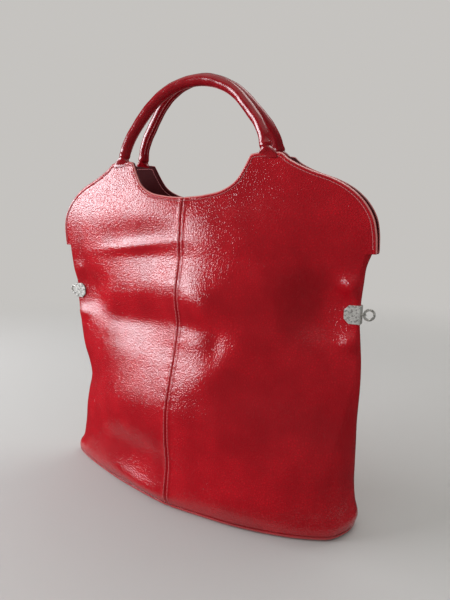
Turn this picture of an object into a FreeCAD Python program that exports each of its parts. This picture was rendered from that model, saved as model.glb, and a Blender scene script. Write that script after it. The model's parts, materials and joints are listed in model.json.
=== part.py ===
import FreeCAD, Part
import math
import os
import Sketcher
from FreeCAD import Placement, Rotation, Vector

# Fold-over leather tote handbag with two rolled handles and, on each side edge, a folded clasp
# plate that holds a split ring. Millimetres, +Z up, front towards -Y, origin at the middle of
# the foot. The bag is an oval shell below its side notches; above them the front and the back
# are separate wings, each with two shoulders, two handle tabs and a cut-out between the tabs.

SIZES = {
    # bag below the notches
    "body_half_width": 174.0,
    "notch_height": 258.0,
    "clasp_below_notch": 54.0,
    "face_radius": 385.0,
    "flank_start": 125.0,
    "lip_start": 149.0,
    # wings
    "wing_half_width": 180.5,
    "shoulder_above_notch": 15.0,
    "shoulder_radius": 48.0,
    "shoulder_hollow_radius": 232.0,
    "tab_above_notch": 87.0,
    "tab_outer": 97.0,
    "tab_inner": 68.5,
    "tab_side_angle": 70.0,
    "cutout_depth": 37.0,
    "cutout_radius": 143.0,
    "cutout_corner_radius": 38.0,
    "mouth_half_depth": 23.5,
    "mouth_face_radius": 800.0,
    "wing_flank_angle": 6.5,
    # layers, from the outer face inwards
    "leather": 1.5,
    "layer_gap": 0.15,
    "facing": 2.6,
    "lining": 0.6,
    "lining_flat_half_width": 60.0,
    "lining_inset": 8.0,
    "lining_half_width": 136.0,
    "seam_tape": 0.8,
    "seam_tape_gap": 0.3,
    "seam_tape_half_width": 6.0,
    # foot
    "foot_rim": 4.5,
    "foot_bevel": 1.2,
    "base_board": 2.2,
    "base_room": 0.3,
    # handles
    "leg_spread": 82.3,
    "leg_lean": 14.0,
    "handle_rise": 76.0,
    "handle_lean": 8.9,
    "handle_radius": 5.5,
    "hinge_above_tab": 1.0,
    "hinge_depth": 17.5,
    "leg_above_hinge": 6.0,
    "neck_foot_half_width": 13.9,
    "neck_foot_half_depth": 0.8,
    "neck_sink": 7.0,
    "tongue": 1.4,
    "tongue_half_width": 9.5,
    "tongue_depth": 25.0,
    "tongue_room": 0.1,
    # clasp plates
    "leaf_length": 15.0,
    "leaf_height": 17.0,
    "leaf_corner": 4.5,
    "leaf_bevel": 0.3,
    "plate": 0.8,
    "plate_bend": 1.2,
    "plate_gap": 0.3,
    "screw_inset": 7.5,
    "screw_radius": 0.9,
    "screw_room": 0.05,
    "screw_length": 4.2,
    "screw_head_radius": 1.9,
    "screw_head": 0.7,
    "screw_slot": 0.5,
    "boss_radius": 1.6,
    "boss_room": 0.2,
    "eye_offset": 2.0,
    "eye_hole_radius": 1.2,
    "eye_radius": 2.0,
    "eye_thickness": 1.2,
    # split rings
    "ring_radius": 4.5,
    "ring_wire": 0.8,
    "ring_gap_angle": 9.0,
    "right_ring_swing": 25.0,
    "left_ring_swing": 5.0,
}

# Outer face below the notches, from the foot upwards: where the height is counted from, the
# height, the pull-in of the side seam, the half depth at the centre seam and where the clasps'
# lips start, and the side edge's radius
STATIONS = [
    ("foot", 4.5, 0.5, 57.5, 28.0, 20.0),
    ("foot", 30.0, 1.5, 62.0, 31.5, 20.0),
    ("foot", 105.0, 4.5, 59.5, 24.0, 9.0),
    ("clasp", -48.0, 5.0, 44.5, 11.0, 3.4),
    ("clasp", -9.5, 5.5, 38.8, 3.4, 3.4),
    ("clasp", 9.5, 5.5, 38.2, 3.4, 3.4),
    ("notch", 0.0, -2.0, 34.5, 11.5, 10.4),
]
PINCHED = (4, 5)
NOTCH = len(STATIONS) - 1

# How finely the round stretches are cut into flats
FACE_STEPS = 4
HANDLE_SIDES = 8
RING_SIDES = 6

doc = FreeCAD.newDocument("tote_handbag")
sheet = doc.addObject("Spreadsheet::Sheet", "sizes")


def fill_sheet():
    """Write every driving dimension into the sheet, one named cell each."""
    rows = list(SIZES.items())
    columns = ("height", "pull_in", "half_depth", "lip_half_depth", "edge_radius")
    for number, (_, *numbers) in enumerate(STATIONS):
        rows += [(f"station_{number}_{column}", size) for column, size in zip(columns, numbers)]
    for row, (alias, number) in enumerate(rows, 1):
        sheet.set(f"A{row}", alias.replace("_", " "))
        sheet.set(f"B{row}", str(number))
        sheet.setAlias(f"B{row}", alias)
    doc.recompute()


def value(expression):
    """The number that an expression on the sheet's cells gives."""
    return float(sheet.evalExpression(expression))


fill_sheet()

# Heights, insets and places that several pieces share
CLASP_HEIGHT = "(sizes.notch_height - sizes.clasp_below_notch)"
TAB_TOP = "(sizes.notch_height + sizes.tab_above_notch)"
WING_TOP = f"({TAB_TOP} + 2)"
FACING_IN = "(sizes.leather + sizes.layer_gap)"
FACING_INNER = f"({FACING_IN} + sizes.facing)"
FOLD_WALL = "(sizes.body_half_width - sizes.station_4_pull_in + sizes.plate_gap + sizes.plate)"
LEAF_FACE = "(sizes.station_4_edge_radius + sizes.plate_gap + sizes.plate)"
SCREW_PLACE = f"({FOLD_WALL} - sizes.screw_inset)"
EYE_PLACE = f"({FOLD_WALL} + sizes.eye_offset)"
HINGE_HEIGHT = f"({TAB_TOP} + sizes.hinge_above_tab)"
BASE_TOP = "(sizes.leather + sizes.base_board + sizes.lining)"
STARTS = {"foot": "0", "clasp": CLASP_HEIGHT, "notch": "sizes.notch_height"}
ACROSS = Vector(1, 0, 0)
FORWARD = Vector(0, 1, 0)


# Tools shared by the pieces

def drive(sketch, constraint, name, expression):
    """Add a dimension to the sketch and bind it to the sheet."""
    index = sketch.addConstraint(constraint)
    sketch.renameConstraint(index, name)
    sketch.setExpression("Constraints." + name, expression)


def relate(sketch, relations):
    """Add constraints that carry no size, each given as the arguments it is made with."""
    for relation in relations:
        sketch.addConstraint(Sketcher.Constraint(*relation))


def bind(piece, bindings):
    """Bind several properties of an object to expressions on the sheet."""
    for prop, expression in bindings.items():
        piece.setExpression(prop, expression)


def origin_part(body, role):
    """One of the body's own origin planes or axes."""
    return next(part for part in body.Origin.OriginFeatures if part.Role == role)


def new_body(name):
    """An empty body whose label is the name of the piece."""
    body = doc.addObject("PartDesign::Body", name)
    body.Label = name
    return body


def new_sketch(body, name, role="XY_Plane", height=None):
    """A sketch on one of the body's origin planes, moved off it where a height is given."""
    sketch = body.newObject("Sketcher::SketchObject", name)
    sketch.AttachmentSupport = [(origin_part(body, role), "")]
    sketch.MapMode = "FlatFace"
    if height is not None:
        sketch.AttachmentOffset = Placement(Vector(0, 0, value(height)), Rotation())
        sketch.setExpression("AttachmentOffset.Base.z", height)
    sketch.Visibility = False
    return sketch


def pad(body, name, sketch, length, midplane=False):
    """A pad of a sketch by a length from the sheet."""
    feature = body.newObject("PartDesign::Pad", name)
    feature.Profile = sketch
    feature.Length = value(length)
    feature.Midplane = midplane
    feature.setExpression("Length", length)
    doc.recompute()
    return feature


def loft(body, name, sections):
    """A straight-sided loft through a body's sections, from the lowest to the highest."""
    feature = body.newObject("PartDesign::AdditiveLoft", name)
    feature.Profile = sections[0]
    feature.Sections = sections[1:]
    feature.Ruled = True
    doc.recompute()
    return feature


def combine(kind, name, pieces):
    """A boolean of document objects: MultiFuse, MultiCommon, or Cut of the second from the first."""
    result = doc.addObject("Part::" + kind, name)
    result.Label = name
    if kind == "Cut":
        result.Base, result.Tool = pieces
    else:
        result.Shapes = pieces
    result.Refine = True
    doc.recompute()
    return result


def mirrored(name, source, normal):
    """A piece mirrored in the plane through the origin that the normal is square to."""
    result = doc.addObject("Part::Mirroring", name)
    result.Label = name
    result.Source = source
    result.Normal = normal
    doc.recompute()
    return result


def both_sides(name, half):
    """A piece made whole from its right half."""
    return combine("MultiFuse", name, [half, mirrored(name + "_left_half", half, ACROSS)])


def block(name, low, size):
    """A box from its lowest corner and its three lengths, all given as expressions."""
    box = doc.addObject("Part::Box", name)
    for axis, expression in zip("xyz", low):
        box.setExpression("Placement.Base." + axis, expression)
    for side, expression in zip(("Length", "Width", "Height"), size):
        box.setExpression(side, expression)
    doc.recompute()
    return box


def edges_where(shape, test):
    """Names of the edges whose ends and middle all pass a test."""
    names = []
    for number, edge in enumerate(shape.Edges, 1):
        middle = edge.valueAt((edge.FirstParameter + edge.LastParameter) / 2)
        points = [vertex.Point for vertex in edge.Vertexes] + [middle]
        if all(test(point) for point in points):
            names.append(f"Edge{number}")
    return names


def arc(centre, radius, start, end):
    """A counter-clockwise arc between two angles in radians."""
    circle = Part.Circle(Vector(centre[0], centre[1], 0), Vector(0, 0, 1), radius)
    return Part.ArcOfCircle(circle, start, end)


def segment(start, end):
    """A straight edge between two points of a sketch."""
    return Part.LineSegment(Vector(start[0], start[1], 0), Vector(end[0], end[1], 0))


def polygon(sketch, corners):
    """A closed outline of straight edges, each corner given as two expressions."""
    places = [(value(across), value(up)) for across, up in corners]
    count = len(corners)
    sketch.addGeometry([segment(places[i], places[(i + 1) % count]) for i in range(count)], False)
    relate(sketch, [("Coincident", i, 2, (i + 1) % count, 1) for i in range(count)])
    for i, (corner, place) in enumerate(zip(corners, places)):
        for kind, axis, expression, number in zip("XY", (-2, -1), corner, place):
            if abs(number) < 1e-9:
                relate(sketch, [("PointOnObject", i, 1, axis)])
            elif number > 0:
                drive(sketch, Sketcher.Constraint("Distance" + kind, -1, 1, i, 1, number),
                      f"{kind.lower()}_{i}", expression)
            else:
                drive(sketch, Sketcher.Constraint("Distance" + kind, i, 1, -1, 1, -number),
                      f"{kind.lower()}_{i}", f"-({expression})")
    return sketch


def round_corners(count, radius):
    """Corners of a round section about the sketch's origin, with flats left and right."""
    turns = [math.radians(360 * (corner + 0.5) / count) for corner in range(count)]
    return [(f"{radius} * {math.cos(turn):.6f}", f"{radius} * {math.sin(turn):.6f}")
            for turn in turns]


# The bag's oval below the notches

def station(number):
    """Expressions for a station's height, half width, half depth and edge radius."""
    start = STARTS[STATIONS[number][0]]
    return (f"({start} + sizes.station_{number}_height)",
            f"(sizes.body_half_width - sizes.station_{number}_pull_in)",
            f"sizes.station_{number}_half_depth",
            f"sizes.station_{number}_edge_radius")


def face_corners(depth, radius):
    """Corners of the bag's face, from the centre seam to where its flank starts.

    The face is a shallow parabola with the given radius at the centre seam.
    """
    places = [f"(sizes.flank_start * {step / FACE_STEPS:.6f})" for step in range(FACE_STEPS + 1)]
    return [(place, f"-({depth} - {place} * {place} / (2 * {radius}))") for place in places]


def oval_corners(number, inset):
    """Corners of the front right quarter of the bag's oval, from centre seam to side seam.

    Its parts are the face, the flank up to where the clasps' lips start, the lip or the rest of
    the flank, and the side edge's round. A pinched lip is flat and its round a full quarter.
    """
    _, half_width, half_depth, edge_radius = station(number)
    corners = face_corners(f"({half_depth} - ({inset}))", "sizes.face_radius")
    corners.append(("sizes.lip_start", f"-(sizes.station_{number}_lip_half_depth - ({inset}))"))
    first = 0 if number in PINCHED else 30
    radius = f"({edge_radius} - ({inset}))"
    for degrees in (first, (first + 90) / 2):
        turn = math.radians(degrees)
        corners.append((f"{half_width} - ({inset}) - {radius} * {1 - math.sin(turn):.6f}",
                        f"-{radius} * {math.cos(turn):.6f}"))
    return corners + [(f"{half_width} - ({inset})", "0")]


def oval_quarter(body, name, number, outer, inner=None, height=None):
    """Front right quarter of the oval at a station: a wall between two insets, or filled."""
    sketch = new_sketch(body, name, height=height or station(number)[0])
    if inner is None:
        return polygon(sketch, oval_corners(number, outer) + [("0", "0")])
    return polygon(sketch, oval_corners(number, outer) + oval_corners(number, inner)[::-1])


def lens_half(body, name, number):
    """Front half of the lining at a station: a thin bow whose two ends lie on the X axis."""
    level, _, half_depth, _ = station(number)
    if number == 0:
        level = BASE_TOP
    flat, end = "sizes.lining_flat_half_width", "sizes.lining_half_width"
    inner_end = f"({end} - 3 * sizes.lining)"
    outer = f"-({half_depth} - sizes.lining_inset)"
    inner = f"({outer} + sizes.lining)"
    return polygon(new_sketch(body, name, height=level),
                   [(f"-{end}", "0"), (f"-{flat}", outer), (flat, outer), (end, "0"),
                    (inner_end, "0"), (flat, inner), (f"-{flat}", inner), (f"-{inner_end}", "0")])


def tape_section(body, name, number):
    """Seam tape cut level at a station: a strip behind the leather across the centre seam."""
    level, _, half_depth, _ = station(number)
    reach = "sizes.seam_tape_half_width"
    front = f"-({half_depth} - sizes.leather - sizes.seam_tape_gap)"
    back = f"{front} + sizes.seam_tape"
    return polygon(new_sketch(body, name, height=level),
                   [(f"-{reach}", front), (reach, front), (reach, back), (f"-{reach}", back)])


# The wings above the notches

def wing_corners(inset, at_mouth):
    """Corners of the front right half of a wing, cut level, from the centre seam outwards.

    The face goes on from the oval's at the notch, and is flatter at the mouth. The flank runs on
    straight past the wing's edge, which is cut later.
    """
    depth, radius = f"(sizes.station_{NOTCH}_half_depth - ({inset}))", "sizes.face_radius"
    if at_mouth:
        depth, radius = f"(sizes.mouth_half_depth - ({inset}))", "sizes.mouth_face_radius"
    corners = face_corners(depth, radius)
    reach = "(sizes.wing_half_width + 5)"
    run = f"({reach} - sizes.flank_start)"
    return corners + [(reach, f"{corners[-1][1]} + {run} * tan(sizes.wing_flank_angle * 1 deg)")]


def wing_section(body, name, outer, inner, at_mouth):
    """A wing layer between two insets, cut level at the notch or at the mouth."""
    level = WING_TOP if at_mouth else "sizes.notch_height"
    return polygon(new_sketch(body, name, height=level),
                   wing_corners(outer, at_mouth) + wing_corners(inner, at_mouth)[::-1])


def wing_layer(name, outer, inner):
    """Front right half of a wing layer between two insets, not yet cut to the wing's outline."""
    body = new_body(name)
    sections = [wing_section(body, f"{name}_at_{place}", outer, inner, place == "mouth")
                for place in ("notch", "mouth")]
    loft(body, name + "_loft", sections)
    return body


def meeting_point(one, one_radius, other, other_radius):
    """The higher of the two points at given distances from two centres."""
    gap = Vector(other[0] - one[0], other[1] - one[1], 0)
    along = (one_radius ** 2 - other_radius ** 2 + gap.Length ** 2) / (2 * gap.Length)
    aside = math.sqrt(one_radius ** 2 - along ** 2)
    unit = Vector(gap).normalize()
    points = [(one[0] + unit.x * along - unit.y * side, one[1] + unit.y * along + unit.x * side)
              for side in (aside, -aside)]
    return max(points, key=lambda point: point[1])


def bearing(centre, point):
    """Angle in radians of the direction from a centre to a point."""
    return math.atan2(point[1] - centre[1], point[0] - centre[0])


def wing_outline(sketch):
    """Right half of a wing seen from the front, from the notch up.

    The loop is the notch line, the upright edge, the shoulder arc, the hollow arc up to the tab,
    the tab's top, its slanted inner side, the cut-out's corner arc, the cut-out's shallow bottom
    arc round a centre on the Z axis, and the middle line back down.
    """
    wide, notch = value("sizes.wing_half_width"), value("sizes.notch_height")
    top, middle = value(TAB_TOP), value(f"{TAB_TOP} - sizes.cutout_depth")
    shoulder, hollow = value("sizes.shoulder_radius"), value("sizes.shoulder_hollow_radius")
    corner, bottom = value("sizes.cutout_corner_radius"), value("sizes.cutout_radius")
    outer, inner = value("sizes.tab_outer"), value("sizes.tab_inner")
    slant = math.radians(value("sizes.tab_side_angle"))
    shoulder_centre = (wide - shoulder, notch + value("sizes.shoulder_above_notch"))
    hollow_centre = meeting_point(shoulder_centre, shoulder + hollow, (outer, top), hollow)
    joint = bearing(shoulder_centre, hollow_centre)
    bottom_centre = (0, middle + bottom)
    start = Vector(inner - corner * math.sin(slant),
                   top + corner * math.cos(slant) - bottom_centre[1], 0)
    down = Vector(-math.cos(slant), -math.sin(slant), 0)
    slide = -start.dot(down) + math.sqrt(start.dot(down) ** 2 - start.Length ** 2
                                         + (bottom - corner) ** 2)
    corner_centre = (start.x + slide * down.x, start.y + slide * down.y + bottom_centre[1])
    low_joint = bearing(bottom_centre, corner_centre)
    side_foot = (inner + slide * down.x, top + slide * down.y)
    sketch.addGeometry([
        segment((0, notch), (wide, notch)),
        segment((wide, notch), (wide, shoulder_centre[1])),
        arc(shoulder_centre, shoulder, 0, joint),
        arc(hollow_centre, hollow, bearing(hollow_centre, (outer, top)), joint + math.pi),
        segment((outer, top), (inner, top)),
        segment(side_foot, (inner, top)),
        arc(corner_centre, corner, low_joint, slant - math.pi / 2),
        arc(bottom_centre, bottom, -math.pi / 2, low_joint),
        segment((0, middle), (0, notch))], False)
    relate(sketch, [("PointOnObject", 0, 1, -2), ("Horizontal", 0), ("Coincident", 0, 2, 1, 1),
                    ("Vertical", 1), ("Tangent", 1, 2, 2, 1), ("Tangent", 2, 2, 3, 2),
                    ("Coincident", 3, 1, 4, 1), ("Horizontal", 4), ("Coincident", 4, 2, 5, 2),
                    ("Tangent", 5, 1, 6, 2), ("Tangent", 6, 1, 7, 2), ("PointOnObject", 7, 1, -2),
                    ("PointOnObject", 7, 3, -2), ("Coincident", 7, 1, 8, 1),
                    ("Coincident", 8, 2, 0, 1)])
    sizes = [
        ("notch_height", ("DistanceY", -1, 1, 0, 1, notch), "sizes.notch_height"),
        ("half_width", ("DistanceX", 0, 1, 0, 2, wide), "sizes.wing_half_width"),
        ("shoulder_rise", ("DistanceY", 1, 1, 1, 2, shoulder_centre[1] - notch),
         "sizes.shoulder_above_notch"),
        ("shoulder_radius", ("Radius", 2, shoulder), "sizes.shoulder_radius"),
        ("hollow_radius", ("Radius", 3, hollow), "sizes.shoulder_hollow_radius"),
        ("tab_rise", ("DistanceY", 0, 1, 4, 1, top - notch), "sizes.tab_above_notch"),
        ("tab_outer", ("DistanceX", 0, 1, 4, 1, outer), "sizes.tab_outer"),
        ("tab_inner", ("DistanceX", 0, 1, 4, 2, inner), "sizes.tab_inner"),
        ("tab_side_angle", ("Angle", 5, slant), "sizes.tab_side_angle * 1 deg"),
        ("corner_radius", ("Radius", 6, corner), "sizes.cutout_corner_radius"),
        ("cutout_radius", ("Radius", 7, bottom), "sizes.cutout_radius"),
        ("cutout_depth", ("DistanceY", 7, 1, 4, 2, top - middle), "sizes.cutout_depth"),
    ]
    for name, constraint, expression in sizes:
        drive(sketch, Sketcher.Constraint(*constraint), name, expression)


# Leather panels, facings, linings and tapes

def build_panels():
    """Four leather panels, each a quarter of the oval shell with half a wing on top."""
    shell = new_body("front_right_shell")
    sections = [oval_quarter(shell, f"shell_{number}", number, "0", "sizes.leather")
                for number in range(len(STATIONS))]
    loft(shell, "front_right_shell_loft", sections)
    wing = combine("MultiCommon", "front_right_wing",
                   [wing_layer("front_right_wing_band", "0", "sizes.leather"), outline])
    whole = combine("MultiFuse", "front_right_shell_and_wing", [shell, wing])
    hole = doc.addObject("Part::Cylinder", "boss_hole")
    hole.Placement = Placement(Vector(0, 0, 0), Rotation(ACROSS, 90))
    bind(hole, {"Radius": "sizes.boss_radius + sizes.boss_room",
                "Height": "2 * sizes.station_4_edge_radius",
                "Placement.Base.x": SCREW_PLACE,
                "Placement.Base.z": CLASP_HEIGHT})
    doc.recompute()
    front_right = combine("Cut", "front_right_panel", [whole, hole])
    back_right = mirrored("back_right_panel", front_right, FORWARD)
    return [front_right, back_right, mirrored("front_left_panel", front_right, ACROSS),
            mirrored("back_left_panel", back_right, ACROSS)]


def tongue_block(name, room):
    """Room round a handle neck's tongue, from its lower end to the top of the tab."""
    half_width = f"(sizes.tongue_half_width + {room})"
    depth = f"(sizes.tongue_depth + {room})"
    return block(name, (f"sizes.leg_spread - {half_width}", "-2 * sizes.mouth_half_depth",
                        f"{TAB_TOP} - {depth}"),
                 (f"2 * {half_width}", "2 * sizes.mouth_half_depth", depth))


def build_facings():
    """Stiffened facings inside the wings, with a pocket for each handle neck's tongue."""
    facing = combine("MultiCommon", "front_right_facing",
                     [wing_layer("front_right_facing_band", FACING_IN, FACING_INNER), outline])
    pocket = combine("MultiCommon", "tongue_pocket",
                     [wing_layer("tongue_pocket_band", "sizes.leather",
                                 f"{FACING_IN} + sizes.tongue + sizes.tongue_room"),
                      tongue_block("tongue_pocket_block", "sizes.tongue_room")])
    half = combine("Cut", "front_right_pocketed_facing", [facing, pocket])
    front = both_sides("front_facing", half)
    return [front, mirrored("back_facing", front, FORWARD)]


def build_linings():
    """Cloth linings that hang from the facings and stand on the base lining."""
    lining = new_body("front_lining")
    sections = [lens_half(lining, f"lining_{place}", number)
                for place, number in (("foot", 0), ("waist", PINCHED[1]), ("top", NOTCH))]
    loft(lining, "front_lining_loft", sections)
    return [lining, mirrored("back_lining", lining, FORWARD)]


def build_tapes():
    """Tapes behind the centre seams."""
    tape = new_body("front_seam_tape")
    sections = [tape_section(tape, f"tape_{number}", number) for number in range(len(STATIONS))]
    loft(tape, "front_seam_tape_loft", sections)
    return [tape, mirrored("back_seam_tape", tape, FORWARD)]


# Foot

def whole_oval(name, quarter):
    """A piece made whole from its front right quarter."""
    front = both_sides(name + "_front", quarter)
    return combine("MultiFuse", name, [front, mirrored(name + "_back", front, FORWARD)])


def build_foot():
    """Base panel: a shallow leather tray with a bevelled foot, a board in it and its lining."""
    tray = new_body("base_panel_quarter")
    pad(tray, "tray_pad", oval_quarter(tray, "tray_outline", 0, "0", height="0"),
        "sizes.foot_rim")
    pocket = tray.newObject("PartDesign::Pocket", "tray_pocket")
    pocket.Profile = oval_quarter(tray, "tray_inside", 0, "sizes.leather", height="sizes.foot_rim")
    pocket.setExpression("Length", "sizes.foot_rim - sizes.leather")
    doc.recompute()
    low_edges = edges_where(pocket.Shape, lambda point: abs(point.z) < 1e-6)
    straight = edges_where(pocket.Shape, lambda point: abs(point.z) < 1e-6
                           and min(abs(point.x), abs(point.y)) < 1e-6)
    bevel = tray.newObject("PartDesign::Chamfer", "tray_foot")
    bevel.Base = (pocket, [edge for edge in low_edges if edge not in straight])
    bevel.setExpression("Size", "sizes.foot_bevel")
    doc.recompute()
    board = new_body("base_board_quarter")
    inset = "(sizes.leather + sizes.base_room)"
    pad(board, "board_pad", oval_quarter(board, "board_outline", 0, inset, height="sizes.leather"),
        "sizes.base_board")
    cloth = new_body("base_lining_quarter")
    pad(cloth, "base_lining_pad",
        oval_quarter(cloth, "base_lining_outline", 0, inset,
                     height="sizes.leather + sizes.base_board"), "sizes.lining")
    return [whole_oval("base_panel", tray), whole_oval("base_board", board),
            whole_oval("base_lining", cloth)]


# Handles, each on the hinge line just above its two tabs

def lean_at_hinge(body):
    """Stand a body on the front hinge line, leaning back by the handle's lean."""
    body.Placement = Placement(Vector(0, 0, 0), Rotation(Vector(-1, 0, 0), 1))
    bind(body, {"Placement.Base.y": "-sizes.hinge_depth",
                "Placement.Base.z": HINGE_HEIGHT,
                "Placement.Rotation.Angle": "sizes.handle_lean * 1 deg"})


def leg_place(rise):
    """Distance of the right leg's centre line from the middle at a rise above the hinge line."""
    return f"(sizes.leg_spread - {rise} * tan(sizes.leg_lean * 1 deg))"


def handle_path(body):
    """Centre line of a handle: two straight legs leaning in, joined by one arc over the top."""
    sketch = new_sketch(body, "handle_path", "XZ_Plane")
    lean = math.radians(value("sizes.leg_lean"))
    spread, rise = value("sizes.leg_spread"), value("sizes.handle_rise")
    foot = (leg_place("sizes.leg_above_hinge"), "sizes.leg_above_hinge")
    foot_x, foot_z = (value(expression) for expression in foot)
    crown = (spread * math.cos(lean) - rise * math.sin(lean)) / (1 - math.sin(lean))
    centre = rise - crown
    side = (crown * math.cos(lean), centre + crown * math.sin(lean))
    sketch.addGeometry([segment((foot_x, foot_z), side),
                        arc((0, centre), crown, lean, math.pi - lean),
                        segment((-side[0], side[1]), (-foot_x, foot_z))], False)
    relate(sketch, [("Tangent", 0, 2, 1, 1), ("Tangent", 1, 2, 2, 1),
                    ("PointOnObject", 1, 3, -2), ("Symmetric", 0, 1, 2, 2, -2)])
    drive(sketch, Sketcher.Constraint("DistanceX", -1, 1, 0, 1, foot_x), "foot_x", foot[0])
    drive(sketch, Sketcher.Constraint("DistanceY", -1, 1, 0, 1, foot_z), "foot_z", foot[1])
    drive(sketch, Sketcher.Constraint("Radius", 1, crown), "crown_radius",
          "(sizes.leg_spread * cos(sizes.leg_lean * 1 deg)"
          " - sizes.handle_rise * sin(sizes.leg_lean * 1 deg))"
          " / (1 - sin(sizes.leg_lean * 1 deg))")
    drive(sketch, Sketcher.Constraint("Angle", 0, math.pi / 2 + lean), "leg_bearing",
          "(90 + sizes.leg_lean) * 1 deg")
    return sketch


def build_handles():
    """Rolled leather handles with their cord fused in."""
    body = new_body("front_handle_roll")
    lean_at_hinge(body)
    section = new_sketch(body, "handle_section")
    section.AttachmentOffset = Placement(Vector(0, 0, 0), Rotation(Vector(0, -1, 0), 1))
    bind(section, {"AttachmentOffset.Base.x": leg_place("sizes.leg_above_hinge"),
                   "AttachmentOffset.Base.z": "sizes.leg_above_hinge",
                   "AttachmentOffset.Rotation.Angle": "sizes.leg_lean * 1 deg"})
    polygon(section, round_corners(HANDLE_SIDES, "sizes.handle_radius"))
    pipe = body.newObject("PartDesign::AdditivePipe", "handle_pipe")
    pipe.Profile = section
    pipe.Spine = (handle_path(body), ["Edge1", "Edge2", "Edge3"])
    doc.recompute()
    return [body, mirrored("back_handle_roll", body, FORWARD)]


def neck_flare():
    """Leaning wedge that widens and thins from the end of the right leg down into its tab."""
    flare = new_body("neck_flare")
    lean_at_hinge(flare)
    sink, rise = "(0 - sizes.neck_sink)", "sizes.leg_above_hinge"
    corners = []
    for level, half_width in ((sink, "sizes.neck_foot_half_width"), (rise, "sizes.handle_radius")):
        ends = [(f"{leg_place(level)} {side} {half_width} * cos(sizes.leg_lean * 1 deg)",
                 f"{level} {side} {half_width} * sin(sizes.leg_lean * 1 deg)") for side in "-+"]
        corners += ends if level == sink else ends[::-1]
    outline = polygon(new_sketch(flare, "neck_outline", "XZ_Plane"), corners)
    whole = pad(flare, "neck_pad", outline, "2 * sizes.handle_radius", midplane=True)
    low, high = value(f"{sink} / 2"), value(f"{rise} / 2")
    edge_reach = value("sizes.handle_radius") - 1e-6
    long_edges = [f"Edge{number}" for number, edge in enumerate(whole.Shape.Edges, 1)
                  if low < (edge.Vertexes[0].Z + edge.Vertexes[1].Z) / 2 < high
                  and abs(edge.CenterOfMass.y) > edge_reach]
    bevel = flare.newObject("PartDesign::Chamfer", "neck_bevel")
    bevel.Base = (whole, long_edges)
    bevel.setExpression("Size", "sizes.handle_radius * (2 - sqrt(2))")
    doc.recompute()
    top = f"{rise} + sizes.handle_radius * sin(sizes.leg_lean * 1 deg)"
    for side, name in (("", "back"), ("-", "front")):
        waste = polygon(new_sketch(flare, f"neck_{name}_waste", "YZ_Plane"),
                        [(f"{side}sizes.neck_foot_half_depth", sink),
                         (f"{side}2 * sizes.handle_radius", sink),
                         (f"{side}2 * sizes.handle_radius", top),
                         (f"{side}sizes.handle_radius", top)])
        taper = flare.newObject("PartDesign::Pocket", f"neck_{name}_taper")
        taper.Profile = waste
        taper.Midplane = True
        taper.setExpression("Length", "4 * sizes.leg_spread")
        doc.recompute()
    return flare


def build_necks():
    """Flexible necks: a tongue between a tab's leather and facing, flared up to the handle."""
    flare = neck_flare()
    tab = block("tab_room", ("0", "-2 * sizes.mouth_half_depth", f"{TAB_TOP} - 20"),
                ("2 * sizes.leg_spread", "2 * sizes.mouth_half_depth", "20"))
    above = combine("Cut", "neck_above_tab", [flare, tab])
    tongue = combine("MultiCommon", "neck_tongue",
                     [wing_layer("neck_tongue_band", FACING_IN, f"{FACING_IN} + sizes.tongue"),
                      tongue_block("neck_tongue_block", "0")])
    front_right = combine("MultiFuse", "front_right_handle_neck", [tongue, above])
    back_right = mirrored("back_right_handle_neck", front_right, FORWARD)
    return [front_right, back_right, mirrored("front_left_handle_neck", front_right, ACROSS),
            mirrored("back_left_handle_neck", back_right, ACROSS)]


# Clasp plates, their screws and the split rings

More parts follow.
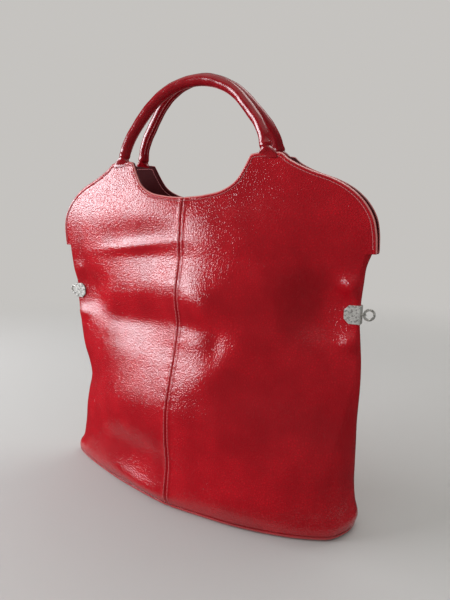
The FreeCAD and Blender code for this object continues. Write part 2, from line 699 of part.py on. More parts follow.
def plate_profile(body):
    """U-shaped section of the folded clasp plate, seen from above."""
    sketch = new_sketch(body, "plate_profile", height=f"{CLASP_HEIGHT} - sizes.leaf_height / 2")
    wall, face = value(FOLD_WALL), value(LEAF_FACE)
    thick, bend = value("sizes.plate"), value("sizes.plate_bend")
    inner_bend = bend - thick
    end = wall - value("sizes.leaf_length")
    quarter = math.pi / 2
    centre = (wall - bend, face - bend)
    low = (centre[0], -centre[1])
    sketch.addGeometry([
        segment((end, -face), (low[0], -face)),
        arc(low, bend, -quarter, 0),
        segment((wall, low[1]), (wall, centre[1])),
        arc(centre, bend, 0, quarter),
        segment((centre[0], face), (end, face)),
        segment((end, face), (end, face - thick)),
        segment((end, face - thick), (centre[0], face - thick)),
        arc(centre, inner_bend, 0, quarter),
        segment((wall - thick, centre[1]), (wall - thick, low[1])),
        arc(low, inner_bend, -quarter, 0),
        segment((low[0], thick - face), (end, thick - face)),
        segment((end, thick - face), (end, -face))], False)
    relate(sketch, [("Horizontal", 0), ("Tangent", 0, 2, 1, 1), ("Tangent", 1, 2, 2, 1),
                    ("Vertical", 2), ("Tangent", 2, 2, 3, 1), ("Tangent", 3, 2, 4, 1),
                    ("Horizontal", 4), ("Coincident", 4, 2, 5, 1), ("Vertical", 5),
                    ("Coincident", 5, 2, 6, 1), ("Horizontal", 6), ("Tangent", 6, 2, 7, 2),
                    ("Tangent", 7, 1, 8, 1), ("Tangent", 8, 2, 9, 2),
                    ("Tangent", 9, 1, 10, 1), ("Horizontal", 10), ("Coincident", 10, 2, 11, 1),
                    ("Coincident", 11, 2, 0, 1), ("Vertical", 11),
                    ("Coincident", 7, 3, 3, 3),
                    ("Coincident", 9, 3, 1, 3), ("Symmetric", 0, 1, 4, 2, -1),
                    ("Equal", 1, 3), ("Equal", 5, 11)])
    drive(sketch, Sketcher.Constraint("DistanceX", -1, 1, 2, 1, wall), "fold_wall", FOLD_WALL)
    drive(sketch, Sketcher.Constraint("DistanceY", 0, 1, -1, 1, face), "leaf_face", LEAF_FACE)
    drive(sketch, Sketcher.Constraint("DistanceX", 0, 1, 2, 1, wall - end), "leaf_length",
          "sizes.leaf_length")
    drive(sketch, Sketcher.Constraint("Distance", 5, thick), "plate", "sizes.plate")
    drive(sketch, Sketcher.Constraint("Radius", 1, bend), "bend", "sizes.plate_bend")
    return sketch


def eye_profile(body):
    """Outline of the eye on the fold's wall, with its hole, seen from above."""
    sketch = new_sketch(body, "eye_profile", height=CLASP_HEIGHT)
    place, radius = value(EYE_PLACE), value("sizes.eye_radius")
    root = value(f"{FOLD_WALL} - sizes.plate / 2")
    sketch.addGeometry([segment((root, -radius), (place, -radius)),
                        arc((place, 0), radius, -math.pi / 2, math.pi / 2),
                        segment((place, radius), (root, radius)),
                        segment((root, radius), (root, -radius)),
                        Part.Circle(Vector(place, 0, 0), Vector(0, 0, 1),
                                    value("sizes.eye_hole_radius"))], False)
    relate(sketch, [("Horizontal", 0), ("Tangent", 0, 2, 1, 1), ("Tangent", 1, 2, 2, 1),
                    ("Horizontal", 2), ("Coincident", 2, 2, 3, 1), ("Coincident", 3, 2, 0, 1),
                    ("Vertical", 3),
                    ("PointOnObject", 1, 3, -1), ("Coincident", 4, 3, 1, 3)])
    drive(sketch, Sketcher.Constraint("DistanceX", -1, 1, 1, 3, place), "place", EYE_PLACE)
    drive(sketch, Sketcher.Constraint("DistanceX", -1, 1, 0, 1, root), "root",
          f"{FOLD_WALL} - sizes.plate / 2")
    drive(sketch, Sketcher.Constraint("Radius", 1, radius), "radius", "sizes.eye_radius")
    drive(sketch, Sketcher.Constraint("Radius", 4, value("sizes.eye_hole_radius")), "hole",
          "sizes.eye_hole_radius")
    return sketch


def round_profile(body, name, radius, offset):
    """A circle round the screw's line, on a plane square to it at a depth along Y."""
    sketch = new_sketch(body, name, "XZ_Plane", height=offset)
    place, high = value(SCREW_PLACE), value(CLASP_HEIGHT)
    sketch.addGeometry(Part.Circle(Vector(place, high, 0), Vector(0, 0, 1), value(radius)), False)
    drive(sketch, Sketcher.Constraint("DistanceX", -1, 1, 0, 3, place), "place", SCREW_PLACE)
    drive(sketch, Sketcher.Constraint("DistanceY", -1, 1, 0, 3, high), "height", CLASP_HEIGHT)
    drive(sketch, Sketcher.Constraint("Radius", 0, value(radius)), "radius", radius)
    return sketch


def pocket_forward(body, name, profile, length):
    """A pocket from a profile at the back towards the front."""
    feature = body.newObject("PartDesign::Pocket", name)
    feature.Profile = profile
    feature.Reversed = True
    feature.setExpression("Length", length)
    doc.recompute()
    return feature


def build_plates():
    """Folded clasp plates with chamfered leaves, an eye for the ring and a boss for the screw."""
    body = new_body("right_clasp_plate")
    fold = pad(body, "plate_fold", plate_profile(body), "sizes.leaf_height")
    end = value(f"{FOLD_WALL} - sizes.leaf_length")
    high, half = value(CLASP_HEIGHT), value("sizes.leaf_height") / 2
    corners = edges_where(fold.Shape, lambda point: abs(point.x - end) < 1e-4
                          and abs(abs(point.z - high) - half) < 1e-4)
    cut = body.newObject("PartDesign::Chamfer", "leaf_corners")
    cut.Base = (fold, corners)
    cut.setExpression("Size", "sizes.leaf_corner")
    doc.recompute()
    face = value(LEAF_FACE)
    bright = body.newObject("PartDesign::Chamfer", "leaf_bevels")
    bright.Base = (cut, edges_where(cut.Shape, lambda point: abs(abs(point.y) - face) < 1e-4
                                    and point.x < value(f"{FOLD_WALL} - sizes.plate_bend") - 1e-3
                                    or abs(abs(point.y) - face) < 1e-4
                                    and abs(abs(point.z - high) - half) < 1e-4))
    bright.setExpression("Size", "sizes.leaf_bevel")
    doc.recompute()
    pad(body, "eye", eye_profile(body), "sizes.eye_thickness", midplane=True)
    inner_face = f"({LEAF_FACE} - sizes.plate)"
    pad(body, "boss", round_profile(body, "boss_profile", "sizes.boss_radius",
                                    f"-({inner_face} - sizes.screw_room)"),
        f"2 * {inner_face} - sizes.screw_room + 0.1")
    pocket_forward(body, "screw_bore",
                   round_profile(body, "bore_profile", "sizes.screw_radius + sizes.screw_room",
                                 f"-{LEAF_FACE}"), "sizes.screw_length + sizes.screw_room")
    return [body, mirrored("left_clasp_plate", body, ACROSS)]


def slot_profile(body):
    """Outline of the slot across the screw's head, on the head's outer face."""
    sketch = new_sketch(body, "slot_profile", "XZ_Plane",
                        height=f"-({LEAF_FACE} + sizes.screw_head)")
    half, reach = "sizes.screw_slot / 2", "(sizes.screw_head_radius + 0.2)"
    return polygon(sketch, [(f"{SCREW_PLACE} {side} {half}", f"{CLASP_HEIGHT} {end} {reach}")
                            for side, end in ("--", "+-", "++", "-+")])


def build_screws():
    """Slotted screws that hold the clasp plates from the back."""
    body = new_body("right_clasp_screw")
    pad(body, "screw_head", round_profile(body, "head_profile", "sizes.screw_head_radius",
                                          f"-({LEAF_FACE} + sizes.screw_head)"),
        "sizes.screw_head")
    pad(body, "screw_shank", round_profile(body, "shank_profile", "sizes.screw_radius",
                                           f"-{LEAF_FACE}"), "sizes.screw_length")
    pocket_forward(body, "screw_slot", slot_profile(body), "sizes.screw_head / 2")
    return [body, mirrored("left_clasp_screw", body, ACROSS)]


def build_ring(side, swing):
    """A split ring threaded through a clasp plate's eye, swung about the eye's upright axis."""
    body = new_body(side + "_ring")
    turn = f"({swing}) * 1 deg"
    sign = "" if side == "right" else "-"
    body.Placement = Placement(Vector(0, 0, 0), Rotation(Vector(0, 0, 1), 1))
    bind(body, {"Placement.Base.x": f"{sign}{EYE_PLACE} + sizes.ring_radius * cos({turn})",
                "Placement.Base.y": f"sizes.ring_radius * sin({turn})",
                "Placement.Base.z": CLASP_HEIGHT,
                "Placement.Rotation.Angle": turn})
    sketch = new_sketch(body, side + "_wire", "YZ_Plane")
    wire = "sizes.ring_wire"
    corners = round_corners(RING_SIDES, wire)
    polygon(sketch, [(across, f"{up} - sizes.ring_radius") for across, up in corners])
    ring = body.newObject("PartDesign::Revolution", side + "_ring_turn")
    ring.Profile = sketch
    ring.ReferenceAxis = (origin_part(body, "Y_Axis"), [""])
    ring.Midplane = True
    ring.setExpression("Angle", "(360 - sizes.ring_gap_angle) * 1 deg")
    doc.recompute()
    return body


outline = new_body("wing_outline")
outline_sketch = new_sketch(outline, "wing_outline_sketch", "XZ_Plane")
wing_outline(outline_sketch)
pad(outline, "wing_outline_pad", outline_sketch, "2 * sizes.station_1_half_depth")

pieces = (build_panels() + build_facings() + build_linings() + build_tapes() + build_foot()
          + build_handles() + build_necks() + build_plates() + build_screws()
          + [build_ring("right", "sizes.right_ring_swing"),
             build_ring("left", "180 - sizes.left_ring_swing")])
doc.recompute()

faulty = [item.Name for item in doc.Objects if {"Invalid", "Error"} & set(item.State)]
if faulty:
    raise RuntimeError("objects in error: " + ", ".join(faulty))

os.makedirs("parts", exist_ok=True)
for piece in pieces:
    if piece.Shape.isNull() or not piece.Shape.isValid():
        raise RuntimeError(piece.Label + " has no sound shape")
    piece.Shape.exportStep(f"parts/{piece.Label}.step")
print("pieces written:", len(pieces))
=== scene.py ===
import json
import math

import bpy
import numpy as np
from mathutils import Euler, Matrix, Vector


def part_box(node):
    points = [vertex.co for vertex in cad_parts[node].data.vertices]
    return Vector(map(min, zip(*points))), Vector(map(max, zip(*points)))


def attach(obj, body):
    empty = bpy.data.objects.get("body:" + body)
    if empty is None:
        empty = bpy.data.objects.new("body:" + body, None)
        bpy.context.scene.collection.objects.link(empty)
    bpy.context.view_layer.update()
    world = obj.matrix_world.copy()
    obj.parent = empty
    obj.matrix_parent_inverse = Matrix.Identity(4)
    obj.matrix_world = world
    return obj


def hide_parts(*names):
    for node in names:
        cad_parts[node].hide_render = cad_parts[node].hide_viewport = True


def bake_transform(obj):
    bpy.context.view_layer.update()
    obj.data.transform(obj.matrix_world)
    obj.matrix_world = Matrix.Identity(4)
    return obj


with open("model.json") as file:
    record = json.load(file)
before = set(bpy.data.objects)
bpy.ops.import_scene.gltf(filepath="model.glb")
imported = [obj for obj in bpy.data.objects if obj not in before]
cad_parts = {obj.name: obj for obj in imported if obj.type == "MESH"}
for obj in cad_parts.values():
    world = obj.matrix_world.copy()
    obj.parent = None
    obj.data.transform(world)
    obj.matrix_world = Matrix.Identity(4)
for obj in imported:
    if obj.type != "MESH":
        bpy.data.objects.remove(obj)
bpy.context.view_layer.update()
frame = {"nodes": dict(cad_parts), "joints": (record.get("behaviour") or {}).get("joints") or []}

# Leather skins
# The bag's body and wings are four panels of glossy, finely pebbled red leather, each a quarter of
# a slim oval that goes on upwards as half a wing. They are sewn at the centre and the sides, and
# the wings' edges are turned in and stitched round. Shapes here are worked out in millimetres.

MM = 0.001
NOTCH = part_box("front_facing")[0].z / MM
WING_HALF_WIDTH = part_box("front_right_panel")[1].x / MM
RIM_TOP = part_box("front_right_panel")[0].z / MM
PLATE = [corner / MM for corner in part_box("right_clasp_plate")]
CLASP_HEIGHT = (PLATE[0].z + PLATE[1].z) / 2
LEATHER = 1.5

# Half depth at the front centre seam: height, depth
SEAM_DEPTH = [(0, 56.5), (4.5, 57.7), (16, 61.2), (43, 62), (78, 62), (105, 60), (120, 56),
              (143, 49), (160, 43.5), (184, 40), (209, 39), (226, 39.8), (240, 37.5), (250, 35.5),
              (264, 35), (287, 33), (308, 28.5), (345, 23.5)]
# Half width of the body: height, at the left, at the right
SIDE_EDGES = [(0, 170.5, 171), (4.5, 172.5, 173), (12, 172, 175), (22, 165, 172.5),
              (39, 160.5, 170.3), (66, 157, 170), (86, 153.5, 170), (103, 150.5, 170),
              (118, 153.5, 170.6), (136, 160, 171.4), (160, 164.5, 171.2), (180, 166.3, 169.6),
              (196, 168, 168.3), (214, 168.8, 168.5), (231, 174, 170), (248, 175.5, 172),
              (258, 175.6, 175.6)]
# Cross-section: height, half depth of the side edge, how far in its round reaches, and the two
# powers of the fall from the centre's depth to the edge's
RIGHT_SECTION = [(0, 26, 18, 3.0, 0.80), (47, 26, 18, 3.0, 0.80), (80, 20, 15, 2.8, 0.85),
                 (105, 13, 11, 2.5, 0.95), (140, 6, 6, 2.2, 1.10), (170, 3.6, 3.4, 2.1, 1.25),
                 (207, 3.1, 3.2, 2.0, 1.35), (235, 3.6, 3.4, 2.0, 1.30), (258, 5.8, 4, 2.0, 1.25),
                 (285, 8.5, 5, 2.0, 1.28), (345, 8.5, 5, 2.0, 1.40)]
LEFT_SECTION = [(0, 5, 5, 1.5, 0.90), (47, 6, 6, 1.6, 0.90), (80, 7, 6, 1.7, 0.95),
                (105, 6, 6, 1.8, 1.00), (140, 4.6, 5, 1.9, 1.15), (170, 3.6, 3.4, 2.0, 1.25),
                (207, 3.1, 3.2, 2.0, 1.35), (235, 3.6, 3.4, 2.0, 1.30), (258, 5.8, 4, 2.0, 1.25),
                (285, 8.5, 5, 2.0, 1.28), (345, 8.5, 5, 2.0, 1.40)]
# The front is fuller to the right of its seam than to the left, most so at FULLEST: height, depth
FULLER_RIGHT = [(0, 1.5), (80, 2.5), (110, 4.0), (140, 6.8), (165, 8.4), (200, 8.0), (230, 6.6),
                (262, 5.0), (282, 2.6), (302, 0.0), (345, 0.0)]
FULLEST = 55
# Soft creases, hollows and bulges: across, height, half length, half height, turn, rise
FRONT_MARKS = [
    # The crease that runs in from the left notch
    (-64, 259, 56, 6.0, 6, 2.3), (-60, 276, 70, 9, 4, -0.8),
    # Hollows and bulges on both sides of the seam, and the foot's swell
    (-70, 181, 66, 12, 2, -2.4), (22, 184, 26, 11, -6, -2.6), (46, 172, 9, 16, 0, -2.4),
    (-66, 210, 74, 14, 1, 3.6), (32, 208, 29, 15, -10, 4.8), (52, 150, 40, 16, 40, 3.0),
    (-60, 150, 50, 18, 10, 1.2), (-34, 14, 50, 9, -3, 4.5), (-46, 48, 62, 20, 0, -5.6),
    # Puckers above and below each clasp, and the hollow beside the right one
    (132, 216, 18, 36, 10, -5.5), (163, 226, 12, 12, 0, 11.5), (163, 181, 10, 9, 0, 7.0),
    (-158, 228, 10, 9, 0, 3.4), (-156, 179, 11, 8, 0, 3.6),
    # The body's sunken flanks and the foot's corners
    (148, 109, 16, 24, 35, -4.2), (90, 138, 42, 26, -25, -4.2), (-132, 105, 24, 34, 0, -4.0),
    (90, 30, 60, 12, 2, 1.2), (124, 62, 30, 30, 0, 2.8), (150, 16, 30, 14, -20, -3.0)]
BACK_MARKS = [
    (50, 256, 62, 4.5, -6, -2.0), (-60, 203, 70, 10, -2, -3.6), (70, 206, 60, 9, 3, -3.2),
    (-20, 150, 60, 24, 20, 1.8), (157, 231, 11, 11, 0, 2.2), (156, 183, 12, 11, 0, 2.2),
    (-157, 231, 11, 10, 0, 2.2), (-156, 183, 12, 10, 0, 2.2), (100, 110, 30, 40, 30, -2.4),
    (-95, 90, 40, 28, -20, -2.0), (0, 18, 90, 10, 0, 1.6)]
# Slow, shallow waves all over the leather
WAVE_RISE = 0.45
# The clasps pinch the body flat over this half height, and from this far out
PINCH_HALF_HEIGHT = 22
PINCH_START, PINCH_REACH = 96, 54
# From this height the face spreads out from the body's width to the wing's
SPREAD_START = 222
# The centre seam: its doubled leather stands up, with a groove between and puckers outside it
WELT_RISE, WELT_HALF_WIDTH, WELT_FALL = 0.45, 3.4, 1.6
GROOVE_DEPTH, GROOVE_WIDTH = 1.0, 0.75
PUCKER_RISE, PUCKER_PLACE, PUCKER_PACE = 0.18, 5, 1.75
STITCH_ROW, STITCH_DENT, STITCH_DENT_WIDTH = 2.3, 0.12, 0.55
# The wings' turned edge: a quarter round, a swell, and the dent of its row of stitches
EDGE_ROUND, EDGE_DROP = 1.6, 0.9
EDGE_SWELL, EDGE_SWELL_WIDTH, EDGE_SWELL_FALL = 0.3, 2.4, 0.8
EDGE_ROW, EDGE_DENT, EDGE_DENT_WIDTH = 3.0, 0.35, 0.6


def smooth_through(where, knots, values):
    """Cubic curve through given values; at each knot its slope is the mean of its two sides'."""
    knots, values = np.asarray(knots, float), np.asarray(values, float)
    slopes = np.gradient(values, knots)
    where = np.clip(where, knots[0], knots[-1])
    low = np.clip(np.searchsorted(knots, where, side="right") - 1, 0, len(knots) - 2)
    span = knots[low + 1] - knots[low]
    part = (where - knots[low]) / span
    ends = (1 + 2 * part) * (1 - part) ** 2 * values[low] + part ** 2 * (3 - 2 * part) * values[low + 1]
    return ends + span * part * (1 - part) * ((1 - part) * slopes[low] - part * slopes[low + 1])


def from_table(where, table, column):
    """Smooth curve through one column of a table whose first column says where."""
    rows = np.array(table, float)
    return smooth_through(where, rows[:, 0], rows[:, column])


def ease(part):
    """Smooth step: 0 up to 0, 1 from 1 on, level at both ends."""
    part = np.clip(part, 0, 1)
    return part * part * (3 - 2 * part)


def half_width(across, height):
    """Half width of the body at a height, on the side that a place lies on."""
    left = from_table(height, SIDE_EDGES, 1)
    right = from_table(height, SIDE_EDGES, 2)
    return np.where(across < 0, left, right)


def marked(across, height, marks):
    """Sum of soft oval hills and hollows: each is its rise times exp(-(a/length)^2 - (b/height)^2)."""
    total = np.zeros(np.broadcast(across, height).shape)
    for place, level, length, tall, turn, rise in marks:
        turn = math.radians(turn)
        along = (across - place) * math.cos(turn) + (height - level) * math.sin(turn)
        aside = (height - level) * math.cos(turn) - (across - place) * math.sin(turn)
        total += rise * np.exp(-(along / length) ** 2 - (aside / tall) ** 2)
    return total


def half_depth(across, height, front, winged):
    """Distance of the leather's face from the bag's middle plane.

    It falls from the seam's depth to the side edge's as (1 - t^p)^q, t being the part of the half
    width. The clasp pinches it flat, and the side edge is rounded shut below the notches. Creases,
    slow waves and the seam's welt, groove, stitch dents and puckers are added.
    """
    side = []
    for column in (1, 2, 3, 4):
        right = from_table(height, RIGHT_SECTION, column)
        left = from_table(height, LEFT_SECTION, column)
        if not front:
            left = right = (left + right) / 2
        side.append(np.where(across < 0, left, right))
    edge_depth, reach, power, outer_power = side
    width = half_width(across, height)
    past = np.clip((np.abs(across) - width + reach) / reach, 0, 1)
    closing = np.where(winged, 1, np.sqrt(1 - past ** 2))
    spread = ease((height - SPREAD_START) / (NOTCH - SPREAD_START))
    spread = width + (WING_HALF_WIDTH - width) * spread
    part = np.clip(np.abs(across) / spread, 0, 1)
    fall = (1 - part ** power) ** outer_power * closing
    pinch = np.exp(-(np.abs(height - CLASP_HEIGHT) / PINCH_HALF_HEIGHT) ** 3)
    pinch = pinch * ease((np.abs(across) - PINCH_START) / PINCH_REACH)
    centre = from_table(height, SEAM_DEPTH, 1)
    depth = edge_depth * closing + (centre - edge_depth) * fall * (1 - pinch)
    if front:
        lean = from_table(height, FULLER_RIGHT, 1) * across / FULLEST
        fuller = lean * np.exp(0.5 - 0.5 * (across / FULLEST) ** 2)
        shape = fuller + marked(across, height, FRONT_MARKS)
    else:
        shape = marked(across, height, BACK_MARKS)
    # Shifted waves and puckers make the back unlike the front
    shift = 0.0 if front else 40.0
    waves = WAVE_RISE * np.sin(across / 17 + height / 29 + shift) * np.sin(height / 23 - across / 41)
    from_seam = np.abs(across)
    pucker = PUCKER_RISE * np.sin(height / PUCKER_PACE + shift)
    pucker = pucker * np.exp(-(from_seam - PUCKER_PLACE) ** 2 / 12)
    welt = WELT_RISE * (1 - ease((from_seam - WELT_HALF_WIDTH) / WELT_FALL))
    groove = GROOVE_DEPTH * np.exp(-(from_seam / GROOVE_WIDTH) ** 2)
    dents = STITCH_DENT * np.exp(-((from_seam - STITCH_ROW) / STITCH_DENT_WIDTH) ** 2)
    creases = (shape + waves) * closing * (1 - 0.9 * pinch)
    return depth + creases + pucker + (welt - groove) - dents


# Free edge of a wing's right half, from the centre seam outwards: across, height
CUT_OUT = [(0, 308), (23, 310), (41, 314), (54, 322), (61, 332), (65.6, 341), (67.8, 345.4)]
TAB = [(67.8, 345.4), (72, 346.1), (83, 346.4), (93, 346.1), (97.2, 345.2)]
SHOULDER = [(97.2, 345.2), (102, 340.8), (109, 336.6), (124, 329.4), (141, 323), (156, 314.6),
            (168.5, 303), (177, 288.5), (179.8, 275), (180.5, 262)]
WING_CORNER = 259.5
BELOW_NOTCH = 250
# Columns lie close together over the seam's groove and stitches
FIRST_STEPS = [0, 0.5, 1, 1.4, 1.8, 2.3, 2.8, 3.4, 4.1, 5, 6.2, 7.8]


def run_lengths(line):
    """Distance along a line to each of its points."""
    return np.concatenate([[0], np.cumsum(np.linalg.norm(np.diff(line, axis=0), axis=1))])


def along_line(corners, count, first=()):
    """Evenly spaced points on a smooth line through corners, after any given first steps."""
    corners = np.array(corners, float)
    lengths = run_lengths(corners)
    start = first[-1] + 2 if len(first) else 0
    where = np.concatenate([first, np.linspace(start, lengths[-1], count)])
    return np.stack([smooth_through(where, lengths, corners[:, i]) for i in (0, 1)], 1)


wing_top = np.concatenate([along_line(CUT_OUT, 34, FIRST_STEPS), along_line(TAB, 16)[1:],
                           along_line(SHOULDER, 62)[1:], [(WING_HALF_WIDTH, WING_CORNER)]])
# The last columns stand nearly upright, at the wing's straight side
wing_top[-3:, 0] = WING_HALF_WIDTH - np.array([0.14, 0.05, 0])
free_edge = np.concatenate([along_line(CUT_OUT, 60), along_line(TAB, 24)[1:],
                            along_line(SHOULDER, 100)[1:], [(WING_HALF_WIDTH, BELOW_NOTCH)]])
BODY_ROWS = np.linspace(RIM_TOP, NOTCH, 104)
# Parts of the way from the notch to the free edge, close together at the turned edge
WING_ROWS = np.concatenate([[0.004, 0.02], np.linspace(0.05, 0.86, 24),
                            1 - np.array([0.12, 0.1, 0.083, 0.068, 0.055, 0.045, 0.036, 0.028, 0.02,
                                          0.013, 0.007, 0.003, 0])])
# Stands for the distance to the free edge where there is none
FAR = 99


def edge_distance(across, height):
    """Distance in the wing's plane from its free edge: the least distance to any of its runs."""
    start, run = free_edge[:-1, :, None], np.diff(free_edge, axis=0)[:, :, None]
    shape = np.broadcast(across, height).shape
    place = np.stack([np.broadcast_to(np.abs(across), shape).ravel(),
                      np.broadcast_to(height, shape).ravel()])[None]
    part = np.clip(((place - start) * run).sum(1) / (run ** 2).sum(1), 0, 1)
    gap = place - start - part[:, None] * run
    return np.hypot(gap[:, 0], gap[:, 1]).min(0).reshape(shape)


def on_side(across, depth, height, front):
    """Grid of places at a depth before or behind the bag's middle plane."""
    return np.stack(np.broadcast_arrays(across, -depth if front else depth, height), -1)


def panel_grid(side, front, inset=0.0, trim=0.0, turned=False):
    """Rows and columns of places on one panel: level rows in the body, fanned rows in the wing.

    A turned edge rolls off in a quarter round and is pressed down along its row of stitches.
    """
    body_rows = np.repeat(BODY_ROWS[:, None], len(wing_top), 1)
    wing_rows = NOTCH + WING_ROWS[:, None] * (wing_top[:, 1] - trim - NOTCH)
    height = np.concatenate([body_rows, wing_rows])
    winged = np.arange(len(height))[:, None] >= len(BODY_ROWS)
    across = side * wing_top[:, 0] * (1 - trim / WING_HALF_WIDTH)
    across = np.where(winged, across, across * (half_width(side, height) / WING_HALF_WIDTH))
    depth = half_depth(across, height, front, winged) - inset
    if turned:
        gap = np.where(winged, edge_distance(across, height), FAR)
        roll = 1 - np.sqrt(1 - np.clip(1 - gap / EDGE_ROUND, 0, 1) ** 2)
        dent = EDGE_DENT * np.exp(-((gap - EDGE_ROW) / EDGE_DENT_WIDTH) ** 2)
        swell = EDGE_SWELL * (1 - ease((gap - EDGE_SWELL_WIDTH) / EDGE_SWELL_FALL)) * (1 - roll)
        depth = depth - EDGE_DROP * roll - dent + swell
    return on_side(across, depth, height, front)


def grid_normals(grid):
    """Unit normals of a grid: columns' direction times rows' direction."""
    normals = np.cross(np.gradient(grid, axis=1), np.gradient(grid, axis=0))
    return normals / np.maximum(np.linalg.norm(normals, axis=-1, keepdims=True), 1e-12)


def solid_from(name, points, faces):
    """Mesh object, in metres and smooth, from points in millimetres and faces."""
    mesh = bpy.data.meshes.new(name)
    mesh.from_pydata((np.asarray(points).reshape(-1, 3) * MM).tolist(), [], faces)
    mesh.polygons.foreach_set("use_smooth", [True] * len(mesh.polygons))
    mesh.update()
    piece = bpy.data.objects.new(name, mesh)
    bpy.context.scene.collection.objects.link(piece)
    return piece


def walled(name, grid, wall, round_from=None, plain=None):
    """Closed sheet of one thickness: a grid, its copy moved in along the normals, and a rim.

    Where the grid is higher than round_from its rim is a half round, elsewhere it is flat. The
    normals are those of a plainer grid where one is given.
    """
    rows, columns = grid.shape[:2]
    normals = grid_normals(grid if plain is None else plain)
    inner = grid - wall * normals
    index = np.arange(rows * columns).reshape(rows, columns)
    quads = np.stack([index[:-1, :-1], index[:-1, 1:], index[1:, 1:], index[1:, :-1]], -1)
    quads = quads.reshape(-1, 4)
    loop = np.concatenate([index[0, :-1], index[:-1, -1], index[-1, :0:-1], index[:0:-1, 0]])
    outer_rim, inner_rim = grid.reshape(-1, 3)[loop], inner.reshape(-1, 3)[loop]
    along = np.roll(outer_rim, -1, 0) - np.roll(outer_rim, 1, 0)
    away = np.cross(along, normals.reshape(-1, 3)[loop])
    away /= np.maximum(np.linalg.norm(away, axis=1, keepdims=True), 1e-12)
    bulge = np.zeros(len(loop))
    if round_from is not None:
        free = (outer_rim[:, 2] > round_from) & (np.abs(outer_rim[:, 0]) > 0.01)
        bulge = np.where(free | (np.abs(outer_rim[:, 2] - outer_rim[:, 2].max()) < 1), 1.0, 0.0)
    rings = [loop]
    points = [grid.reshape(-1, 3), inner.reshape(-1, 3)]
    for number, turn in enumerate((45, 90, 135)):
        turn = math.radians(turn)
        middle = (outer_rim + inner_rim) / 2 + (outer_rim - inner_rim) / 2 * math.cos(turn)
        points.append(middle + away * (bulge * wall / 2 * math.sin(turn))[:, None])
        rings.append(np.arange(len(loop)) + 2 * rows * columns + number * len(loop))
    rings.append(loop + rows * columns)
    faces = quads.tolist() + (quads[:, ::-1] + rows * columns).tolist()
    for near, far in zip(rings[:-1], rings[1:]):
        faces += np.stack([np.roll(near, -1), near, far, np.roll(far, -1)], 1).tolist()
    return solid_from(name, np.concatenate(points), faces)


class Wire:
    """A socket in a material's nodes: sums, differences and products of wires add Math nodes."""

    def __init__(self, tree, socket=None):
        self.tree, self.socket = tree, socket

    def node(self, kind, settings=None, sockets=None, output=0):
        """A wire from a new node, after its settings are set and its sockets filled or linked."""
        made = self.tree.nodes.new(kind)
        for name, setting in (settings or {}).items():
            setattr(made, name, setting)
        for name, given in (sockets or {}).items():
            if isinstance(given, Wire):
                self.tree.links.new(given.socket, made.inputs[name])
            else:
                made.inputs[name].default_value = given
        return Wire(self.tree, made.outputs[output])

    def math(self, operation, other=0.0):
        return self.node("ShaderNodeMath", {"operation": operation}, {0: self, 1: other})

    def __add__(self, other):
        return self.math("ADD", other)

    def __sub__(self, other):
        return self.math("SUBTRACT", other)

    def __mul__(self, other):
        return self.math("MULTIPLY", other)

    def __rsub__(self, other):
        return self.node("ShaderNodeMath", {"operation": "SUBTRACT"}, {0: other, 1: self})

    __radd__, __rmul__ = __add__, __mul__

    def between(self, low, high):
        """The wire from 0 at one value to 1 at another, eased."""
        return self.node("ShaderNodeMapRange", {"interpolation_type": "SMOOTHSTEP"},
                         {"Value": self, "From Min": low, "From Max": high})

    def mix(self, one, other):
        """Colour between two, this wire saying how much of the second."""
        return self.node("ShaderNodeMix", {"data_type": "RGBA"},
                         {"Factor": self, 6: one, 7: other}, output=2)

    def noise(self, place, scale, detail=3.0, distortion=0.0):
        return self.node("ShaderNodeTexNoise", {},
                         {"Vector": place, "Scale": scale, "Detail": detail, "Distortion": distortion})


def new_finish(name):
    """Empty material and the start of its nodes: a bare wire and the object's own coordinates."""
    material = bpy.data.materials.new(name)
    material.use_nodes = True
    material.node_tree.nodes.clear()
    start = Wire(material.node_tree)
    return material, start, start.node("ShaderNodeTexCoord", output="Object")


def end_finish(start, shader, kind="ShaderNodeOutputMaterial"):
    """The shader goes to the output, a material's or the world's."""
    made = start.tree.nodes.new(kind)
    start.tree.links.new(shader.socket, made.inputs["Surface"])


def leather_finish(name, deep, mid, worn_and_highlit, gloss, shine, grain_size, grain_depth):
    """Pebbled leather: flat pebbles with creases between, darker and duller than their tops.

    Over them lie patches of two shades, pores and a few fine folds. Where a piece's attribute says so
    the leather is paler: worn, and along the wings' turned edges a thin line that is partly wear and
    partly a painted highlight on the rolled rim.
    The grain's size and depth are in metres, as the place is.
    """
    material, start, place = new_finish(name)
    pebbles = start.node("ShaderNodeTexVoronoi", {"feature": "DISTANCE_TO_EDGE"},
                         {"Vector": place, "Scale": 1 / grain_size}, output="Distance")
    tops = pebbles.between(0.02, 0.36)
    pores = start.noise(place, 2.4 / grain_size, 3.0)
    patches = start.noise(place, 14.0, 3.0, 0.4)
    cloudy = start.noise(place, 45.0, 4.0)
    folds = start.node("ShaderNodeTexVoronoi", {"feature": "DISTANCE_TO_EDGE"},
                       {"Vector": place, "Scale": 150.0}, output="Distance").between(0.0, 0.07)
    # The creases between the pebbles are painted darker than the tops, as shade; the patches are random
    # tone
    shade = (patches * 0.65 + cloudy * 0.35).between(0.36, 0.66) * (tops * 0.6 + 0.4)
    colour = shade.mix(deep, mid)
    # Paler where worn; along the wings' turned edges this paleness is also a painted highlight
    rub_and_highlight = start.node("ShaderNodeAttribute", {"attribute_name": "rub_and_highlight"}, output="Fac")
    colour = (rub_and_highlight * (cloudy * 0.8 + 0.45)).mix(colour, worn_and_highlit)
    height = tops * 0.55 + pores * 0.45 + folds * (patches.between(0.4, 0.65) * 0.4)
    normal = start.node("ShaderNodeBump", {}, {"Strength": 1.0, "Distance": grain_depth,
                                               "Height": height})
    rough = gloss + 0.04 * (1.0 - tops) + 0.08 * pores + 0.06 * cloudy - 0.07
    shader = start.node("ShaderNodeBsdfPrincipled", {}, {
        "Base Color": colour, "Roughness": rough, "Normal": normal, "Specular IOR Level": shine})
    end_finish(start, shader)
    return material


